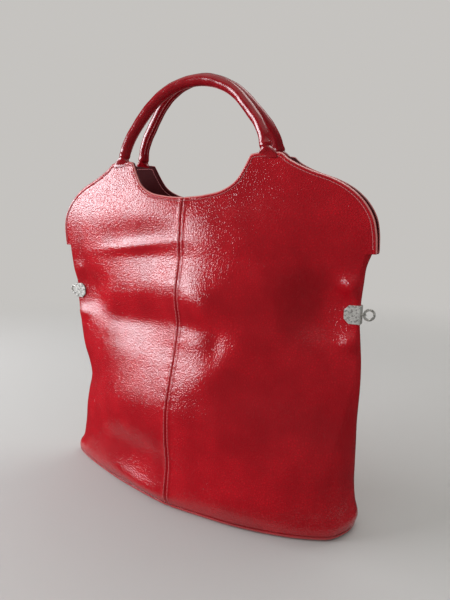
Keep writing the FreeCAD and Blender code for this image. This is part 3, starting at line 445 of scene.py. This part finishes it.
RED_DEEP = (0.340, 0.0034, 0.0090, 1)
RED = (0.550, 0.0056, 0.0140, 1)
# Pale colour of worn leather, also painted along the wings' turned edges as a highlight
RED_WORN_AND_HIGHLIT = (0.780, 0.330, 0.310, 1)
red_leather = leather_finish("red_leather", RED_DEEP, RED, RED_WORN_AND_HIGHLIT, gloss=0.15, shine=0.62,
                             grain_size=0.0023, grain_depth=0.00026)


def dress(piece, material, nodes=(), body="bag"):
    """Give a piece its finish, the nodes it stands for and the body it rides on."""
    piece.data.materials.clear()
    piece.data.materials.append(material)
    if nodes:
        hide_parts(*nodes)
    if body:
        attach(piece, body)


def outward(grid, side, front):
    """The grid with its columns in the order that makes its normals point out of the bag."""
    return grid if (side > 0) == front else grid[:, ::-1]


def points_of(piece):
    """Across, forwards and up of every point of a piece, in millimetres."""
    points = np.empty(3 * len(piece.data.vertices), np.float32)
    piece.data.vertices.foreach_get("co", points)
    return points.reshape(-1, 3).T.astype(float) / MM


def paint_wear_and_highlight(piece, amount):
    """How pale each point of a piece is painted: wear, and on the wings' edges also a painted
    highlight.
    """
    layer = piece.data.attributes.new("rub_and_highlight", "FLOAT", "POINT")
    layer.data.foreach_set("value", amount.astype(np.float32))


# Width of the pale line along the turned edges: partly wear, partly a painted highlight on the rim
EDGE_WEAR_AND_HIGHLIGHT_WIDTH = 0.45
FACES = ((True, "front"), (False, "back"))
HANDS = ((-1, "left"), (1, "right"))
for front, face in FACES:
    for side, hand in HANDS:
        grid = outward(panel_grid(side, front, turned=True), side, front)
        plain = outward(panel_grid(side, front), side, front)
        skin = walled(f"{face}_{hand}_skin", grid, LEATHER, round_from=NOTCH + 1, plain=plain)
        across, _, height = points_of(skin)
        # A thin pale line along the turned edges: partly wear, partly a painted highlight on the rolled
        # rim
        gap = np.where(height > NOTCH - 0.5, edge_distance(across, height), FAR)
        paint_wear_and_highlight(skin, 1.2 * np.exp(-(gap / EDGE_WEAR_AND_HIGHLIGHT_WIDTH) ** 2))
        dress(skin, red_leather, [f"{face}_{hand}_panel"])

# Foot
# A shallow leather tray closes the bag below, its rim sewn to the skins just above the floor. A
# stiff fibreboard lies in it under a cloth lining, so that the bag stands by itself.

FOOT_HALF_WIDTH, FOOT_HALF_DEPTH = 172, 57
ROUND_FOOT = 4.2
RIM_LEVEL = RIM_TOP - 0.1
INSIDE_INSET = LEATHER + 0.3
OVAL_TURNS = np.sin(np.linspace(-math.pi / 2, math.pi / 2, 121))


def oval_ring(inset, level, shrink=1.0):
    """Closed loop round the bag's outline at the foot's rim, drawn in by an inset, at a level."""
    loops = []
    for front in (True, False):
        across = half_width(OVAL_TURNS, RIM_TOP) * OVAL_TURNS
        depth = half_depth(across, np.full_like(across, RIM_TOP), front, False)
        across = across * (1 - inset / FOOT_HALF_WIDTH) * shrink
        loop = on_side(across, depth * (1 - inset / FOOT_HALF_DEPTH) * shrink, level, front)
        loops.append((loop if front else loop[::-1])[:-1])
    return np.concatenate(loops)


def ringed(name, rings):
    """Closed solid from rings of equal count, a fan over each end, turned so that it faces outwards.

    The volume is the sum of the corners' triple products: below 0, every face is turned round.
    """
    rings = np.asarray(rings, float)
    count, around = rings.shape[:2]
    index = np.arange(count * around).reshape(count, around)
    after = np.roll(index, -1, 1)
    faces = np.stack([index[:-1], after[:-1], after[1:], index[1:]], -1).reshape(-1, 4)
    points = np.concatenate([rings.reshape(-1, 3), rings[[0, -1]].mean(1)])
    start_fan = np.stack([after[0], index[0], np.full(around, len(points) - 2)], 1)
    end_fan = np.stack([index[-1], after[-1], np.full(around, len(points) - 1)], 1)
    fans = np.concatenate([start_fan, end_fan])
    corners = points[np.concatenate([faces[:, [0, 1, 2]], faces[:, [0, 2, 3]], fans])]
    volume = np.einsum("ij,ij->", corners[:, 0], np.cross(corners[:, 1], corners[:, 2]))
    order = slice(None, None, -1 if volume < 0 else 1)
    return solid_from(name, points, faces[:, order].tolist() + fans[:, order].tolist())


under = [oval_ring(ROUND_FOOT, 0.0, shrink) for shrink in (0.1, 0.35, 0.6, 0.8, 0.95, 1.0)]
bend = [oval_ring(ROUND_FOOT * (1 - math.sin(turn)), ROUND_FOOT * (1 - math.cos(turn)))
        for turn in np.radians((18, 36, 54, 72, 90))]
rim = [oval_ring(0.0, RIM_LEVEL), oval_ring(LEATHER, RIM_LEVEL)]
inside = [oval_ring(INSIDE_INSET, LEATHER, shrink) for shrink in (1.0, 0.9, 0.5, 0.1)]
tray = ringed("base_skin", under + bend + rim + inside)
# What the bag is set down on rubs the tray's bend a little
paint_wear_and_highlight(tray, 0.2 * np.exp(-((points_of(tray)[2] - 2.2) / 1.6) ** 2))
dress(tray, red_leather, ["base_panel"])


def plain_finish(name, dark, light, scale, rough, bump):
    """Fibre board or waxed thread: two colours in fine fibres, and a finely uneven surface."""
    material, start, place = new_finish(name)
    fibres = start.noise(place, scale, 5.0, 0.6)
    fine = start.noise(place, scale * 6, 3.0)
    colour = fibres.between(0.35, 0.68).mix(dark, light)
    normal = start.node("ShaderNodeBump", {}, {"Strength": 0.4, "Distance": bump,
                                               "Height": fibres * 0.5 + fine * 0.5})
    shader = start.node("ShaderNodeBsdfPrincipled", {}, {
        "Base Color": colour, "Roughness": rough + fine * 0.15, "Normal": normal})
    end_finish(start, shader)
    return material


def cloth_finish(name, warp, weft, thread):
    """Cotton cloth: two sets of threads crossing, in the plane of the sheet."""
    material, start, place = new_finish(name)
    waves = [start.node("ShaderNodeTexWave", {"bands_direction": direction, "wave_profile": "SIN"},
                        {"Vector": place, "Scale": 0.31 / thread, "Distortion": 0.6, "Detail": 1.0,
                         "Detail Scale": 60.0}, output="Fac") for direction in "XZ"]
    cloudy = start.noise(place, 30.0, 4.0)
    over = waves[0].math("GREATER_THAN", waves[1])
    colour = (over * 0.5 + cloudy * 0.5).mix(warp, weft)
    height = waves[0] * waves[1] + waves[0].math("MAXIMUM", waves[1]) * 0.5
    normal = start.node("ShaderNodeBump", {}, {"Strength": 0.5, "Distance": thread * 0.4,
                                               "Height": height})
    shader = start.node("ShaderNodeBsdfPrincipled", {}, {
        "Base Color": colour, "Roughness": 0.78 + cloudy * 0.1, "Normal": normal})
    end_finish(start, shader)
    return material


fibre_board = plain_finish("fibre_board", (0.10, 0.065, 0.04, 1), (0.21, 0.15, 0.10, 1), scale=160.0,
                           rough=0.75, bump=0.0002)
lining_cloth = cloth_finish("lining_cloth", (0.030, 0.0075, 0.0085, 1), (0.060, 0.014, 0.016, 1),
                            thread=0.00045)
BOARD_INSET = 2.8
LYING_ROOM = 0.05
BOARD = [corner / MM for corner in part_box("base_board")]
BASE_CLOTH = [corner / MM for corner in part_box("base_lining")]
for name, node, low, high, finish, slot in (
        ("board", "base_board", BOARD[0].z, BOARD[1].z, fibre_board, "base_board"),
        ("base_cloth", "base_lining", BASE_CLOTH[0].z, BASE_CLOTH[1].z, lining_cloth, "lining_cloth")):
    rings = [oval_ring(BOARD_INSET, low + LYING_ROOM, shrink) for shrink in (0.1, 0.5, 0.9, 1.0)]
    rings += [oval_ring(BOARD_INSET, high - LYING_ROOM, shrink) for shrink in (1.0, 0.9, 0.5, 0.1)]
    dress(ringed(name, rings), finish, [node])

# Seam tapes
# A strip of cotton tape is glued behind each centre seam, so that the stitches don't tear out of
# the leather. It lies flat across the seam's turned allowances.

TAPE_HALF_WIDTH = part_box("front_seam_tape")[1].x / MM
TAPE = 0.5
TAPE_GAP = 0.4
GROOVE_GAP = 0.9
WELT_SIDE = 5.5
tape_cloth = cloth_finish("seam_tape", (0.16, 0.10, 0.08, 1), (0.24, 0.16, 0.13, 1), thread=0.0005)
for front, face in FACES:
    across = np.linspace(-TAPE_HALF_WIDTH, TAPE_HALF_WIDTH, 9)[None, :]
    height = np.linspace(RIM_TOP + 1, NOTCH - 2, 90)[:, None]
    depth = half_depth(across, height, front, False) - LEATHER - GROOVE_GAP
    # It lies no further out than the leather beside the welt
    depth = np.minimum(depth, half_depth(WELT_SIDE, height, front, False) - LEATHER - TAPE_GAP)
    grid = outward(on_side(across, depth, height, front), 1, front)
    dress(walled(f"{face}_tape", grid, TAPE), tape_cloth, [f"{face}_seam_tape"])

# Facings
# Inside each wing lies a stiff facing of smooth dark maroon leather, glued to the red leather and
# caught by the stitching along the edge. The handles' tongues end between the two.

FACING_INSET = LEATHER + 0.15
FACING_WALL = 2.4
FACING_TRIM = 0.9
maroon_facing = leather_finish(
    "maroon_facing", (0.050, 0.0020, 0.0032, 1), (0.085, 0.0036, 0.0055, 1), (0.14, 0.022, 0.024, 1),
    gloss=0.45, shine=0.10, grain_size=0.0012, grain_depth=0.00008)
for front, face in FACES:
    left, right = (panel_grid(side, front, FACING_INSET, FACING_TRIM)[len(BODY_ROWS):]
                   for side in (-1, 1))
    grid = outward(np.concatenate([left[:, :0:-1], right], 1), 1, front)
    facing = walled(f"{face}_facing_skin", grid, FACING_WALL, round_from=NOTCH + 1)
    dress(facing, maroon_facing, [f"{face}_facing"])

# Linings
# A loose maroon cotton lining hangs from the facings and covers the inside down to the base. It
# is sewn as a pocket, so that its front and back meet at the sides, and it wrinkles softly.

LINING = 0.6
# How far it keeps inside the skin: lower down, and how much less behind the facings
LINING_INSET, FACED_LESS = 5.6, 1.3
# How far it keeps off the side edges, and how much further at the clasps
SIDE_GAP, CLASP_GAP = 8, 25
WRINKLE_RISE = 0.9


def lining_grid(front):
    """Rows and columns on one side of the lining, shaped as the skin less an inset.

    It wrinkles as a product of two sine waves, and sqrt(1 - t^8) closes it where its sides meet.
    """
    height = np.linspace(BASE_CLOTH[1].z + 0.1, NOTCH + 3.5, 90)[:, None]
    turn = np.sin(np.linspace(-math.pi / 2, math.pi / 2, 91))[None, :]
    pinched = np.exp(-((height - CLASP_HEIGHT) / 24) ** 2)
    across = turn * (half_width(turn, height) - SIDE_GAP - CLASP_GAP * pinched)
    inset = LINING_INSET - FACED_LESS * ease((height - 240) / 18)
    wrinkles = WRINKLE_RISE * np.sin(across / 8 + 1.6 * np.sin(height / 33)) * np.sin(height / 85)
    depth = half_depth(across, height, front, False) - inset - WRINKLE_RISE - wrinkles
    depth = np.maximum(depth, 0.8) * np.sqrt(np.clip(1 - np.abs(turn) ** 8, 0, 1))
    return on_side(across, depth, height, front)


for front, face in FACES:
    lining = walled(f"{face}_lining_skin", outward(lining_grid(front), 1, front), LINING)
    dress(lining, lining_cloth, [f"{face}_lining"])

# Handles
# Each handle is a cord core in a sleeve of red leather, rolled and stitched along its inner side.
# It stands on the two tabs of its wing, leaning towards the other handle.

HINGE_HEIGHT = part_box("front_right_panel")[1].z / MM + 1
HINGE_DEPTH = 17.5
ROLL_RADIUS = 5.5
ROLL = [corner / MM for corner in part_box("front_handle_roll")]
RISE = 76.0
ROLL_LEAN = math.asin((ROLL[1].y + HINGE_DEPTH - ROLL_RADIUS) / RISE)
# The legs lean in from their spread at the hinge line and run into a round crown
LEG_SPREAD = 82.3
LEG_LEAN = math.radians(14)
CROWN = (LEG_SPREAD * math.cos(LEG_LEAN) - RISE * math.sin(LEG_LEAN)) / (1 - math.sin(LEG_LEAN))
LEG_FOOT = 4.6
# How far each handle's sagging crown leaves a true arc: degrees from the right, extra radius
CROWN_SAG = {"front": [(0, 0), (14, 0), (38, -3.6), (62, -1.2), (90, 0.3), (116, -0.4), (144, -2.4),
                       (166, 0), (180, 0)],
             "back": [(0, 0), (14, 0), (40, -3.4), (66, 0.6), (90, 4.2), (114, 1.8), (142, -3.0),
                      (166, 0), (180, 0)]}


def handle_plane(across, rise, front):
    """Places in the leaning plane of a handle, from across and the rise above its hinge line."""
    return on_side(across, HINGE_DEPTH - rise * math.sin(ROLL_LEAN),
                   HINGE_HEIGHT + rise * math.cos(ROLL_LEAN), front)


def handle_line(face):
    """Centre line from the right foot over the crown to the left foot, in the handle's plane."""
    leg_top = CROWN * math.sin(LEG_LEAN) + RISE - CROWN
    rise = np.linspace(LEG_FOOT, leg_top, 12)[:-1]
    leg = np.stack([LEG_SPREAD - rise * math.tan(LEG_LEAN), rise], 1)
    turn = np.linspace(LEG_LEAN, math.pi - LEG_LEAN, 130)
    radius = CROWN + from_table(np.degrees(turn), CROWN_SAG[face], 1)
    crown = np.stack([radius * np.cos(turn), RISE - CROWN + radius * np.sin(turn)], 1)
    return np.concatenate([leg, crown, leg[::-1] * [-1, 1]])


def handle_frame(face):
    """Centre points, and the two directions of the section: in the plane outwards, and across it."""
    front = face == "front"
    line = handle_line(face)
    centre = handle_plane(line[:, 0], line[:, 1], front)
    ahead = np.gradient(centre, axis=0)
    ahead /= np.linalg.norm(ahead, axis=1, keepdims=True)
    upwards = handle_plane(0.0, 1.0, front) - handle_plane(0.0, 0.0, front)
    plane_normal = np.cross(upwards, [1.0, 0, 0])
    across = np.broadcast_to(plane_normal / np.linalg.norm(plane_normal), centre.shape)
    if (across[0, 1] < 0) != front:
        across = -across
    outwards = np.cross(across, ahead)
    outwards *= np.sign(outwards[len(centre) // 2, 2])
    return centre, outwards, across


# Where the sleeve's own seam lies round the section, counted from its outer side
ROLL_SEAM = math.radians(215)
# The handles' leather is the body's red leather with a finer grain, its colour painted darker as shade
shaded_handle_leather = leather_finish("shaded_handle_leather", (0.24, 0.0028, 0.0075, 1), RED_DEEP, RED_WORN_AND_HIGHLIT,
                                gloss=0.16, shine=0.7, grain_size=0.0016, grain_depth=0.00006)
for face in ("front", "back"):
    centre, outwards, across = handle_frame(face)
    turn = np.linspace(0, 2 * math.pi, 41)[:-1]
    # A cuff swells near each rounded end, and a groove with raised sides runs along the seam
    gap = np.angle(np.exp(1j * (turn - ROLL_SEAM)))
    step = np.linspace(0, 1, len(centre))[:, None]
    length = run_lengths(centre)[:, None]
    from_end = np.minimum(length, length[-1] - length)
    cuff = 0.35 * np.exp(-((from_end - 3.2) / 1.6) ** 2)
    round_end = 1 - 0.22 * np.clip(1 - from_end / 1.8, 0, 1) ** 2
    wobble = 0.10 * np.sin(step * 41 + 2 * turn) + 0.08 * np.sin(step * 97 - turn)
    seam = -0.40 * np.exp(-(gap / 0.07) ** 2) + 0.22 * np.exp(-(gap / 0.34) ** 2)
    radius = (ROLL_RADIUS - 0.15 + wobble + seam + cuff) * round_end
    rings = (centre[:, None] + radius[..., None] * (np.cos(turn)[:, None] * outwards[:, None]
                                                    + np.sin(turn)[:, None] * across[:, None]))
    dress(ringed(f"{face}_handle_sleeve", rings), shaded_handle_leather,
          [f"{face}_handle_roll"], f"{face}_handle")

# Handle necks
# Below each end of a handle the sleeve is flattened and spread into a tongue that goes down
# between the tab's leather and its facing. On the bag this neck bends when the handle swings; here
# it stays where it is built.

# Rise above the hinge line, half width, half depth, squareness
NECK = [(-4.5, 10.0, 1.7, 4.0), (-1.4, 10.0, 1.9, 4.0), (-0.6, 9.9, 2.2, 3.6), (0.4, 9.3, 2.7, 3.0),
        (1.6, 8.1, 3.4, 2.6), (2.8, 6.8, 4.1, 2.3), (4.0, 5.7, 4.6, 2.1), (5.0, 5.0, 4.7, 2.0),
        (6.4, 4.7, 4.6, 2.0), (9.0, 4.6, 4.5, 2.0)]
BEND_LOW, BEND_HIGH = -0.8, 6.0
for front, face in FACES:
    for side, hand in HANDS:
        rise = np.linspace(NECK[0][0], NECK[-1][0], 30)[:, None]
        wide, deep, power = (from_table(rise, NECK, column) for column in (1, 2, 3))
        turn = np.linspace(0, 2 * math.pi, 41)[:-1][None, :]
        shape = [np.sign(wave) * np.abs(wave) ** (2 / power) for wave in (np.cos(turn), np.sin(turn))]
        across = side * (LEG_SPREAD - rise * math.tan(LEG_LEAN) + wide * shape[0])
        folds = 0.25 * np.exp(-((rise - 2.2) / 2.2) ** 2) * np.sin(turn * 9)
        level = rise + wide * shape[0] * math.sin(LEG_LEAN) * ease((rise + 1) / 5)
        depth = HINGE_DEPTH - level * math.sin(ROLL_LEAN) + deep * shape[1] + folds * np.sign(shape[1])
        rings = on_side(across, depth, HINGE_HEIGHT + level * math.cos(ROLL_LEAN), front)
        neck = ringed(f"{face}_{hand}_neck", rings)
        dress(neck, shaded_handle_leather, [f"{face}_{hand}_handle_neck"], body=None)
        low = handle_plane(side * LEG_SPREAD, BEND_LOW, front) * MM
        high = handle_plane(side * LEG_SPREAD, BEND_HIGH, front) * MM
        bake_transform(neck)

# Stitching
# Waxed thread, a little paler than the leather: a row on each side of each centre seam and of each
# handle's own seam, and one row round the wings' turned edges, through leather and facing.

THREAD = 0.34
ROD_SIDES = 6
SEAM_PITCH, EDGE_PITCH, ROLL_PITCH = 3.5, 3.1, 3.2
SUNK_IN_EDGE, SUNK_IN_ROLL = 0.1, 0.05
ROLL_ROW_START = 8
ROLL_ROW_TURN = 0.27
waxed_thread = plain_finish("waxed_thread", (0.44, 0.075, 0.085, 1), (0.60, 0.18, 0.185, 1),
                            scale=2600.0, rough=0.42, bump=0.00005)
# Along the stitch, thickness, and how far it stands up out of the leather, all in thread radii
STITCH = np.array([(-5.0, 0.5, -1.4), (-4.2, 0.9, -0.1), (-2.0, 1.0, 0.35), (2.0, 1.0, 0.35),
                   (4.2, 0.9, -0.1), (5.0, 0.5, -1.4)])


def stitches(name, places, up, body, raised=0.0):
    """One mesh of short threads, each a bent six-sided rod lying along its place on the leather."""
    ahead = np.gradient(places, axis=0)
    places = places + raised * up
    ahead = ahead / np.linalg.norm(ahead, axis=1, keepdims=True)
    up = up / np.linalg.norm(up, axis=1, keepdims=True)
    beside = np.cross(up, ahead)
    turn = np.linspace(0, 2 * math.pi, ROD_SIDES + 1)[:-1]
    along, thick, lift = (STITCH[:, column][None, :, None, None] * THREAD for column in range(3))
    ring = (np.cos(turn)[None, None, :, None] * beside[:, None, None]
            + np.sin(turn)[None, None, :, None] * up[:, None, None])
    points = (places[:, None, None] + along * ahead[:, None, None] + lift * up[:, None, None]
              + thick * ring)
    index = np.arange(len(STITCH) * ROD_SIDES).reshape(-1, ROD_SIDES)
    after = np.roll(index, -1, 1)
    one = np.stack([index[:-1], after[:-1], after[1:], index[1:]], -1).reshape(-1, 4)
    starts = np.arange(len(places))[:, None, None] * index.size
    faces = (one[None] + starts).reshape(-1, 4)[:, ::-1].tolist()
    faces += (index[0][None] + starts[:, 0]).tolist()
    faces += (index[-1][::-1][None] + starts[:, 0]).tolist()
    dress(solid_from(name, points, faces), waxed_thread, body=body)


def on_leather(across, height, front, winged):
    """Places on the leather's face and its outward normals, found from small steps either way."""
    def place(over, up):
        depth = half_depth(across + over, height + up, front, winged)
        return on_side(across + over, depth, height + up, front)
    normal = np.cross(place(0.6, 0) - place(-0.6, 0), place(0, 0.6) - place(0, -0.6))
    normal *= 1 if front else -1
    return place(0, 0), normal / np.linalg.norm(normal, axis=1, keepdims=True)


def read_off(where, lengths, rows):
    """Rows of values along a line, read off in straight lines between its points."""
    return np.stack([np.interp(where, lengths, column) for column in rows.T], 1)


def edge_row(gap, pitch):
    """Evenly spaced places a gap inside the wing's free edge, from the centre seam outwards."""
    line = free_edge[:-1]
    ahead = np.gradient(line, axis=0)
    ahead /= np.maximum(np.hypot(*ahead.T), 1e-9)[:, None]
    moved = line + gap * np.stack([ahead[:, 1], -ahead[:, 0]], 1)
    apart = np.linalg.norm(moved[:, None] - line[None, ::2], axis=-1).min(1)
    moved = moved[apart > gap * 0.96]
    lengths = run_lengths(moved)
    return read_off(np.arange(pitch / 2, lengths[-1], pitch), lengths, moved)


heights = np.arange(RIM_TOP + 3, CUT_OUT[0][1] - 4, SEAM_PITCH)
above = heights > NOTCH
row = edge_row(EDGE_ROW, EDGE_PITCH)
for front, face in FACES:
    for side, hand in HANDS:
        places, up = on_leather(np.full_like(heights, side * STITCH_ROW), heights, front, above)
        stitches(f"{face}_{hand}_seam_row", places, up, "bag")
        places, up = on_leather(side * row[:, 0], row[:, 1], front, True)
        places = places - SUNK_IN_EDGE * up
        stitches(f"{face}_{hand}_edge_row", places, up, "bag")
        stitches(f"{face}_{hand}_inner_row", places, -up, "bag", raised=FACING_INSET + FACING_WALL)
    centre, outwards, across = handle_frame(face)
    lengths = run_lengths(centre)
    where = np.arange(ROLL_ROW_START, lengths[-1] - ROLL_ROW_START, ROLL_PITCH)
    for turn, name in ((ROLL_SEAM + ROLL_ROW_TURN, "upper"), (ROLL_SEAM - ROLL_ROW_TURN, "lower")):
        up = math.cos(turn) * outwards + math.sin(turn) * across
        places = read_off(where, lengths, centre + (ROLL_RADIUS - SUNK_IN_ROLL) * up)
        stitches(f"{face}_handle_{name}_row", places, read_off(where, lengths, up), f"{face}_handle")

# Clasp plates, screws and split rings
# On each side seam a folded plate of aged nickel pinches the leather, held by a small screw
# through a boss. A round split ring hangs in the plate's eye, free to swing.


def aged_nickel_finish():
    """Nickel worn dull: grey tarnish in clouds, dark pits and fine scratches."""
    material, start, place = new_finish("aged_nickel")
    clouds = start.noise(place, 330.0, 4.0, 0.5)
    pits = start.noise(place, 480.0, 2.0).between(0.52, 0.60)
    drawn_out = start.node("ShaderNodeMapping", {}, {"Vector": place, "Scale": (400, 400, 4200)})
    scratches = start.noise(drawn_out, 1.0, 2.0)
    colour = clouds.between(0.35, 0.7).mix((0.66, 0.645, 0.595, 1), (0.86, 0.845, 0.79, 1))
    colour = (pits * 0.8).mix(colour, (0.12, 0.11, 0.095, 1))
    height = clouds * 0.4 + scratches * 0.15 - pits * 0.6
    normal = start.node("ShaderNodeBump", {}, {"Strength": 0.5, "Distance": 0.00012, "Height": height})
    shader = start.node("ShaderNodeBsdfPrincipled", {}, {
        "Base Color": colour, "Metallic": 0.52 - pits * 0.4, "Normal": normal,
        "Roughness": 0.28 + clouds * 0.16 + pits * 0.25})
    end_finish(start, shader)
    return material


aged_nickel = aged_nickel_finish()
for hand in ("left", "right"):
    for part in ("clasp_plate", "clasp_screw"):
        node = frame["nodes"][f"{hand}_{part}"]
        node.data.materials.clear()
        node.data.materials.append(aged_nickel)

RING_RADIUS = 4.55
WIRE_RADIUS = 1.1
RING_GAP = math.radians(9)
for hand in ("left", "right"):
    low, high = (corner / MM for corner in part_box(f"{hand}_ring"))
    joint = next(joint for joint in frame["joints"] if joint["child"] == f"{hand}_ring")
    pivot = np.array(joint["pos_m"]) / MM
    away = np.array((low + high) / 2) - pivot
    away[2] = 0
    away /= np.linalg.norm(away)
    centre = pivot + RING_RADIUS * away
    turn = np.linspace(math.pi / 2 + RING_GAP / 2, math.pi * 5 / 2 - RING_GAP / 2, 73)[:, None]
    around = np.linspace(0, 2 * math.pi, 21)[:-1][None, :]
    reach = (RING_RADIUS + WIRE_RADIUS * np.cos(around))[..., None]
    upright = np.array([0, 0, 1.0])
    rings = (centre + reach * np.cos(turn)[..., None] * away + reach * np.sin(turn)[..., None] * upright
             + WIRE_RADIUS * np.sin(around)[..., None] * np.cross(away, upright))
    dress(ringed(f"{hand}_split_ring", rings), aged_nickel, [f"{hand}_ring"],
          f"{hand}_ring")

# Studio
# A plain pale floor that fades into a pale background, a wide soft light from the left as through
# a window, a weak fill from behind on the right, and dark cloth all round behind the lamps, which
# only glossy leather and metal mirror. The camera stands at the photograph's angle.

BACKGROUND = (0.560, 0.545, 0.525, 1)
FLOOR_COLOUR = (0.50, 0.485, 0.465, 1)
FLOOR_REACH = 4000
# From the bag's middle, in metres: the floor's own colour ends and the plain background begins
FADE_START, FADE_END = 0.55, 1.5


def background_seen(start):
    """1 to the camera, to mirrors and through glass, which see the background; 0 to the light."""
    rays = start.node("ShaderNodeLightPath").socket.node.outputs
    seen, glossy, through = (Wire(start.tree, rays[f"Is {kind} Ray"])
                             for kind in ("Camera", "Glossy", "Transmission"))
    return (seen + glossy + through).math("MINIMUM", 1.0)


def floor_finish():
    """Pale matt floor round the bag that turns into the plain background further out."""
    material, start, place = new_finish("studio_floor")
    apart = start.node("ShaderNodeVectorMath", {"operation": "LENGTH"}, {0: place}, output="Value")
    matt = start.node("ShaderNodeBsdfPrincipled", {}, {
        "Base Color": FLOOR_COLOUR, "Roughness": 0.9, "Specular IOR Level": 0.2})
    plain = start.node("ShaderNodeEmission", {}, {"Color": BACKGROUND, "Strength": 1.0})
    faded = apart.between(FADE_START, FADE_END) * background_seen(start)
    end_finish(start, start.node("ShaderNodeMixShader", {}, {0: faded, 1: matt, 2: plain}))
    return material


corners = [(across * FLOOR_REACH, forward * FLOOR_REACH, 0)
           for across, forward in ((-1, -1), (1, -1), (1, 1), (-1, 1))]
floor = solid_from("floor", corners, [(0, 1, 2, 3)])
floor.data.materials.append(floor_finish())

world = bpy.data.worlds.new("studio")
bpy.context.scene.world = world
world.use_nodes = True
world.node_tree.nodes.clear()
sky = Wire(world.node_tree)
room = sky.node("ShaderNodeBackground", {}, {"Color": (0.98, 1.0, 1.0, 1), "Strength": 0.62})
plain = sky.node("ShaderNodeBackground", {}, {"Color": BACKGROUND, "Strength": 1.0})
lit = sky.node("ShaderNodeMixShader", {}, {0: background_seen(sky), 1: room, 2: plain})
end_finish(sky, lit, "ShaderNodeOutputWorld")


def soft_light(name, bearing, rise, distance, size, power, colour):
    """Square lamp at a bearing from the front, counted to the right, aimed at the bag's middle."""
    lamp = bpy.data.lights.new(name, "AREA")
    lamp.shape = "RECTANGLE"
    lamp.size, lamp.size_y = size
    lamp.energy = power
    lamp.color = colour
    light = bpy.data.objects.new(name, lamp)
    bearing, rise = math.radians(bearing), math.radians(rise)
    aim = Vector((0, 0, 0.2))
    light.location = aim + distance * Vector((math.sin(bearing) * math.cos(rise),
                                              -math.cos(bearing) * math.cos(rise), math.sin(rise)))
    light.rotation_euler = (aim - light.location).to_track_quat("-Z", "Y").to_euler()
    bpy.context.scene.collection.objects.link(light)


soft_light("window_light", bearing=-64, rise=16, distance=1.7, size=(1.4, 0.6), power=33,
           colour=(0.93, 0.94, 1.0))
soft_light("top_fill", bearing=150, rise=62, distance=1.8, size=(1.0, 1.0), power=8,
           colour=(1.0, 0.98, 0.96))
# Half width, half depth and level of the cloth's near edge, its fold on the floor and its top edge
CLOTH_EDGES = [(200, 80, 0.5), (2200, 2200, 0.5), (2200, 2200, 2400)]
CLOTH_STEPS = 65


def dark_screen():
    """Dark cloth from near the bag's foot out over the floor and up, as a drum behind the lamps.

    It darkens only what the leather and the metal mirror: the camera and the light pass it.
    """
    turn = np.radians(np.linspace(-180, 180, CLOTH_STEPS))[:, None]
    wide, deep, level = np.array(CLOTH_EDGES).T
    places = on_side(wide * np.sin(turn), deep * np.cos(turn), level, True)
    index = np.arange(CLOTH_STEPS * 3).reshape(CLOTH_STEPS, 3)
    faces = np.stack([index[:-1, :-1], index[1:, :-1], index[1:, 1:], index[:-1, 1:]], -1)
    screen = solid_from("dark_screen", places, faces.reshape(-1, 4).tolist())
    material, start, _ = new_finish("dark_screen")
    rays = start.node("ShaderNodeLightPath", output="Is Glossy Ray")
    clear = start.node("ShaderNodeBsdfTransparent")
    dark = start.node("ShaderNodeEmission", {}, {"Color": (0.045, 0.042, 0.042, 1)})
    end_finish(start, start.node("ShaderNodeMixShader", {}, {0: rays, 1: clear, 2: dark}))
    screen.data.materials.append(material)


dark_screen()

CAMERA_YAW, CAMERA_DOWN, CAMERA_ROLL = 0.4867, 0.1497, 0.0088
camera_data = bpy.data.cameras.new("camera")
camera_data.lens = 28.8
camera_data.sensor_width = 36
camera_data.clip_start = 0.01
camera = bpy.data.objects.new("camera", camera_data)
camera.location = (0.2585, -0.4281, 0.2797)
aimed = Euler((math.pi / 2 - CAMERA_DOWN, 0, CAMERA_YAW)).to_matrix()
camera.rotation_euler = (aimed @ Matrix.Rotation(CAMERA_ROLL, 3, "Z")).to_euler()
bpy.context.scene.collection.objects.link(camera)
bpy.context.scene.camera = camera
bpy.context.scene.view_settings.view_transform = "Standard"
